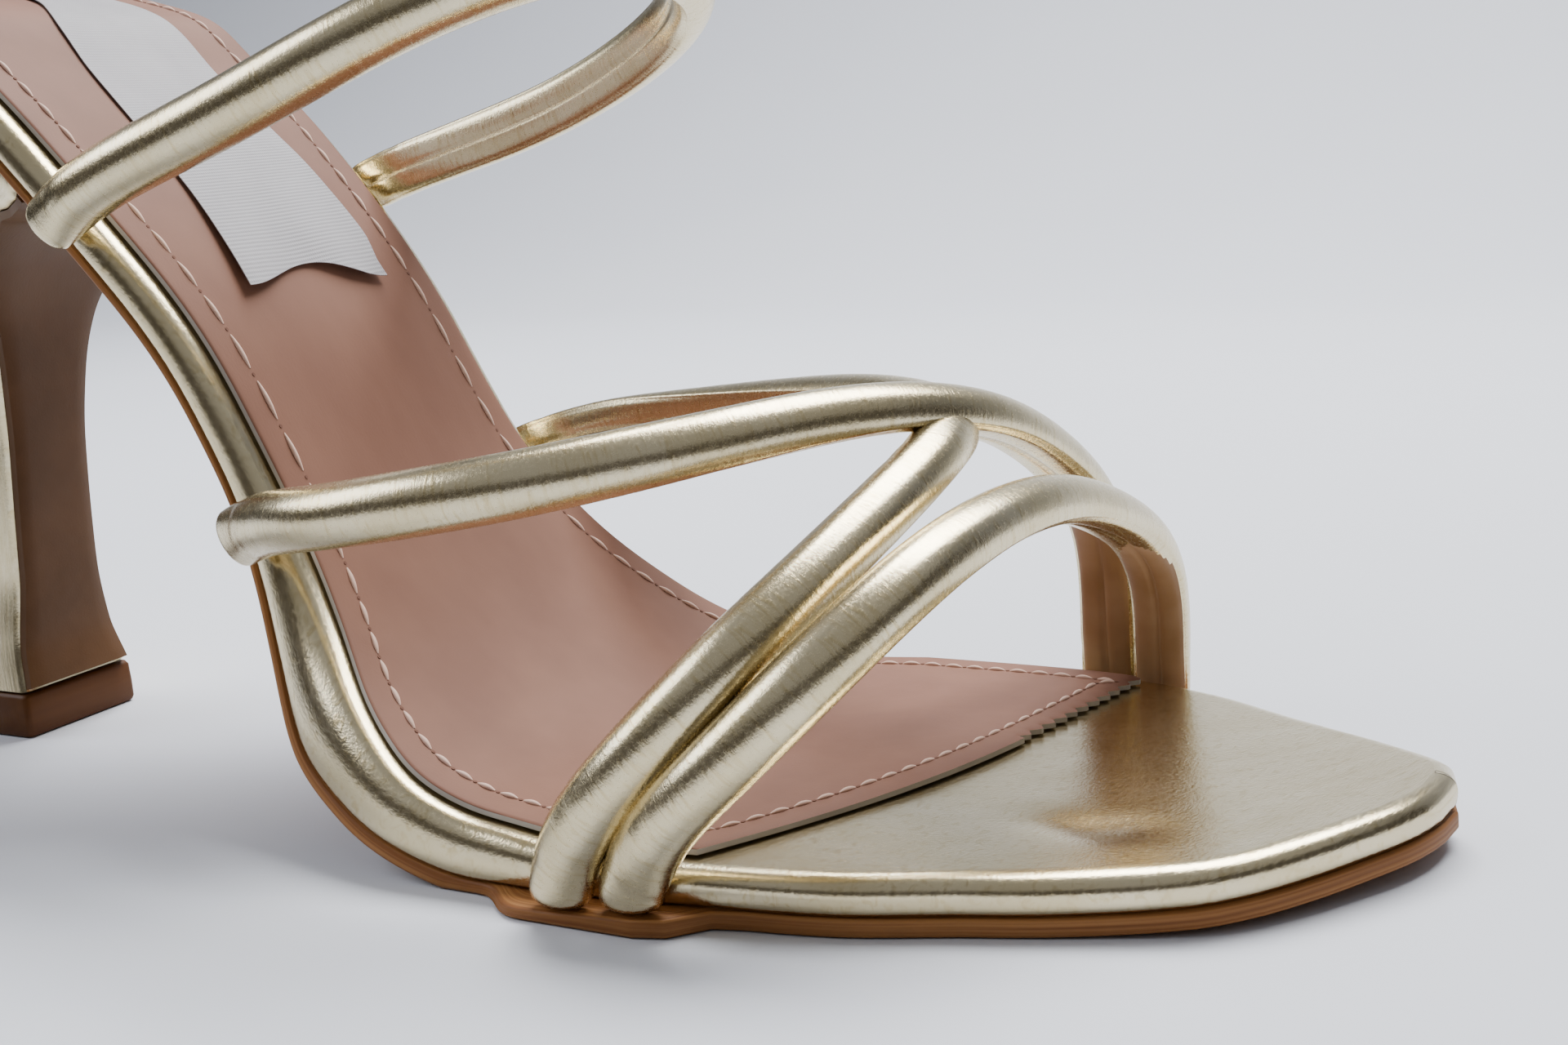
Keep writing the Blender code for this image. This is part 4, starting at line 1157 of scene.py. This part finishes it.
def cover_row(level):
    """Points across the cover's face, then one at each side against the heel."""
    half, shift = heel_half(level) * BALL_WIDTH - FLAP_INSET, heel_shift(level)
    below, above = [heel_spot(near, heel_front(near) * LENGTH, shift)
                    for near in (max(level - 0.004, 0.0), level + 0.004)]
    out = Vector((above.z - below.z, 0.0, below.x - above.x)).normalized()

    def on_heel(side, lift):
        return heel_spot(level, heel_front(level) * LENGTH, shift + side * half) + out * lift

    sides = [2.0 * k / COVER_COLUMNS - 1.0 for k in range(COVER_COLUMNS + 1)]
    face = [on_heel(side, GAP + FLAP_THICKNESS * (1.0 - 0.35 * abs(side) ** 10)) for side in sides]
    return face + [on_heel(1.0, 0.00005), on_heel(-1.0, 0.00005)]


verts = []
for j in range(COVER_ROWS + 1):
    verts += cover_row(FLAP_FOOT + (FLAP_TOP_SHARE - FLAP_FOOT) * j / COVER_ROWS)
faces = tube_faces(COVER_ROWS + 1, COVER_COLUMNS + 3)
cover = make_piece("heel_breast_cover", verts, faces, [breast_cover],
                   [(spot.z, spot.y) for spot in verts])
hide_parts("heel_breast_flap")

# %% [markdown]
# ## The top piece
# The top piece is the hard rubber pad that meets the floor. A bevelled block would do for most
# shoes; here it reuses the heel's outline, drawn in a little at its upper and lower edge, where
# moulded rubber is never sharp.

# %% Top piece
TOP_PIECE_HALF_WIDTH, TOP_PIECE_CORNER = 0.0096, 0.0008
# How far each ring is drawn in, and its height
TOP_RINGS = [(0.0009, 0.0), (0.0002, 0.00015), (0.0, 0.0007), (0.0, 0.0030), (0.0001, 0.0055),
             (0.0004, TOP_PIECE_HEIGHT - 0.0001), (0.0010, TOP_PIECE_HEIGHT)]
outline = rounded_back(TOP_PIECE_FRONT, TOP_PIECE_FRONT - TOP_PIECE_DEPTH, TOP_PIECE_HALF_WIDTH,
                       TOP_PIECE_CORNER, 0.5)
centre_x = TOP_PIECE_FRONT - TOP_PIECE_DEPTH / 2.0
verts, uvs = [], []
for inset, z in TOP_RINGS:
    scale_x = 1.0 - inset / (TOP_PIECE_DEPTH / 2.0)
    scale_y = 1.0 - inset / TOP_PIECE_HALF_WIDTH
    around = 0.0
    for i, (x, y) in enumerate(outline):
        around += math.dist(outline[i - 1], (x, y)) if i else 0.0
        verts.append(Vector((centre_x + (x - centre_x) * scale_x, HEEL_SHIFT + y * scale_y, z)))
        uvs.append((around, z))
top_piece = make_piece("top_piece_moulded", verts, tube_faces(len(TOP_RINGS), len(outline)),
                       [top_rubber], uvs)
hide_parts("top_piece")

# %% [markdown]
# ## The cloth label
# A plain white satin label lies on the sock at the heel. It is not pressed flat: its front edge
# stands up a little and ripples. A cloth simulation could drop it there, but only the front edge
# has any play, so a height over the sock says it all. It stays blank here. Satin's threads are
# 0.2 mm apart, drawn at 0.35 mm so that they show, and a slight sheen softens its edges.

# %% Label cloth
label_cloth, tree, shader = new_material("white_satin_label", Roughness=0.55, Sheen_Weight=0.25)
threads = [add(tree, "ShaderNodeTexWave", {"Vector": map_in_mm(tree), "Scale": 0.9},
               bands_direction=way).outputs["Fac"] for way in ("X", "Y")]
weave = add(tree, "ShaderNodeMath", {0: threads[0], 1: threads[1]}, operation="MULTIPLY")
stain = add(tree, "ShaderNodeTexNoise", {"Vector": map_in_mm(tree, 0.12, 0.12), "Scale": 1.0,
                                         "Detail": 3.0})
colour = colour_mix(tree, ramp(tree, stain.outputs["Fac"], 0.3, 0.7), linear("#9C999D"),
                    linear("#918E92"))
tree.links.new(colour, shader.inputs["Base Color"])
tree.links.new(bump(tree, weave.outputs["Value"], 0.05), shader.inputs["Normal"])
print("label material:", label_cloth.name)

# %% Cloth label
# Left and right edge of the label in plan, from the heel towards the toe
LABEL_EDGES = [
    (0.0330, -0.0030, 0.0115), (0.0400, -0.0032, 0.0120), (0.0500, -0.0078, 0.0122),
    (0.0600, -0.0100, 0.0112), (0.0700, -0.0108, 0.0120), (0.0770, -0.0122, 0.0120),
    (0.0800, -0.0130, 0.0108),
]
label_left = smooth_line(LABEL_EDGES, 1)
label_right = smooth_line(LABEL_EDGES, 2)
LABEL_START, LABEL_END, LABEL_LIFT = 0.0330, 0.0800, 0.00025
LABEL_THICKNESS, LABEL_ROWS, LABEL_COLUMNS = 0.00012, 70, 40


def label_height(x, v):
    """Height over the sock: flat at the back, rippled and lifted at its front edge."""
    near_front = max(0.0, 1.0 - (LABEL_END - x) / 0.014)
    ripple = 0.5 + 0.5 * math.sin(v * 9.5 + 0.8)
    side = max(0.0, abs(2.0 * v - 1.0) - 0.75) * 0.0012
    soft = 0.00012 * noise.noise(Vector((x * 110.0, v * 3.0, 5.0)))
    return LABEL_LIFT + near_front ** 2 * (0.0002 + 0.0006 * ripple) + side * near_front + abs(soft)


verts, uvs = [], []
for layer in (0.0, LABEL_THICKNESS):
    for j in range(LABEL_ROWS + 1):
        for k in range(LABEL_COLUMNS + 1):
            v = k / LABEL_COLUMNS
            bow = 0.0016 * math.sin(math.pi * v) ** 2 - 0.0012 * v
            x = LABEL_START + (LABEL_END - LABEL_START - bow) * j / LABEL_ROWS
            y = label_left(x) + (label_right(x) - label_left(x)) * v
            verts.append(under_foot(x, y, 0.0) + up_direction(x) * (label_height(x, v) + layer))
            uvs.append((x, y))
label = make_piece("cloth_label_blank", verts, sheet_faces(LABEL_ROWS + 1, LABEL_COLUMNS + 1),
                   [label_cloth], uvs)

# %% [markdown]
# ## The floor
# The shoe stands on a pale paper sweep, a sheet that curves up behind it, so no horizon shows.
# A plane with a bent end would do; its profile is written out here, so that the bend starts
# well behind the shoe. Paper is matt, and a slow noise keeps its tone from being quite even.


# %% Floor sweep
def stage_piece(name, points, faces, material):
    """Part of the studio, which isn't part of the shoe."""
    mesh = bpy.data.meshes.new(name)
    mesh.from_pydata(points, [], faces)
    layer = mesh.uv_layers.new(name="metres")
    for corner in mesh.loops:
        layer.data[corner.index].uv = mesh.vertices[corner.vertex_index].co.xy
    mesh.materials.append(material)
    mesh.shade_smooth()
    piece = bpy.data.objects.new(name, mesh)
    bpy.context.scene.collection.objects.link(piece)
    print(name, "has", len(mesh.polygons), "faces")
    return piece
floor_material, tree, shader = new_material("pale_paper_sweep", Roughness=0.75)
paper = add(tree, "ShaderNodeTexNoise", {"Vector": map_in_mm(tree, 0.01, 0.01), "Scale": 1.0,
                                         "Detail": 3.0})
colour = colour_mix(tree, paper.outputs["Fac"], linear("#CED1D9"), linear("#D3D6DD"))
tree.links.new(colour, shader.inputs["Base Color"])
SWEEP_FRONT, SWEEP_BEND, SWEEP_RADIUS, SWEEP_TOP, SWEEP_HALF = -3.0, 0.55, 0.5, 2.0, 4.0
profile = [(SWEEP_FRONT, 0.0), (-1.0, 0.0), (0.0, 0.0), (SWEEP_BEND, 0.0)]
for i in range(1, 25):
    turn = math.pi / 2.0 * i / 24
    profile.append((SWEEP_BEND + SWEEP_RADIUS * math.sin(turn),
                    SWEEP_RADIUS * (1.0 - math.cos(turn))))
profile.append((SWEEP_BEND + SWEEP_RADIUS, SWEEP_TOP))
stage_piece("floor_sweep",
            [(side * SWEEP_HALF, y, z - 0.0001) for y, z in profile for side in (-1, 1)],
            [(2 * i, 2 * i + 1, 2 * i + 3, 2 * i + 2) for i in range(len(profile) - 1)],
            floor_material)

# %% [markdown]
# ## Card and lights
# A metal foil shows what surrounds it. A wide soft light above and behind gives the bright band
# on each tube, a low dark card bent round the camera's side gives the dark band, and the floor
# lights the lower flank. Painting such bands on the metal would look right from one side only.
# The room is darker near the floor and white above; the camera alone sees it as an even grey.

# %% Dark card
CARD_RADIUS, CARD_HEIGHT, CARD_FROM, CARD_TO = 0.36, 0.16, -155.0, 25.0
card_material, tree, shader = new_material("dark_card", Roughness=0.9)
shader.inputs["Base Color"].default_value = linear("#2A2622")
card_points = []
for i in range(49):
    turn = math.radians(CARD_FROM + (CARD_TO - CARD_FROM) * i / 48)
    for z in (0.0, CARD_HEIGHT):
        card_points.append((CARD_RADIUS * math.cos(turn), CARD_RADIUS * math.sin(turn), z))
card = stage_piece("dark_card", card_points,
                   [(2 * i, 2 * i + 2, 2 * i + 3, 2 * i + 1) for i in range(48)], card_material)
card.visible_camera = False

# %% Room
world = bpy.data.worlds.new("soft_room")
world.use_nodes = True
bpy.context.scene.world = world
tree = world.node_tree
background = tree.nodes["Background"]
place = add(tree, "ShaderNodeTexCoord")
height = add(tree, "ShaderNodeSeparateXYZ", {"Vector": place.outputs["Generated"]}).outputs["Z"]
room = colour_mix(tree, ramp(tree, height, 0.16, 0.50), linear("#4A453F"), linear("#F1F3F8"))
seen = add(tree, "ShaderNodeLightPath").outputs["Is Camera Ray"]
room = colour_mix(tree, seen, room, linear("#DADCE2"))
tree.links.new(room, background.inputs["Color"])
background.inputs["Strength"].default_value = 0.38
print("room strength:", round(background.inputs["Strength"].default_value, 2))


# %% Lights
def soft_light(name, place, aim, size, power, colour):
    data = bpy.data.lights.new(name, "AREA")
    data.shape, data.size, data.size_y, data.energy = "RECTANGLE", size[0], size[1], power
    data.color = linear(colour)[:3]
    light = bpy.data.objects.new(name, data)
    light.location = place
    light.rotation_euler = (Vector(aim) - Vector(place)).to_track_quat("-Z", "Y").to_euler()
    bpy.context.scene.collection.objects.link(light)


soft_light("overhead_softbox", (0.05, 0.42, 0.86), (0.0, 0.0, 0.0), (0.8, 0.5), 24.0, "#FFFFFF")
soft_light("left_softbox", (-0.85, -0.35, 0.70), (0.0, 0.0, 0.03), (0.6, 0.6), 7.0, "#F4F7FF")
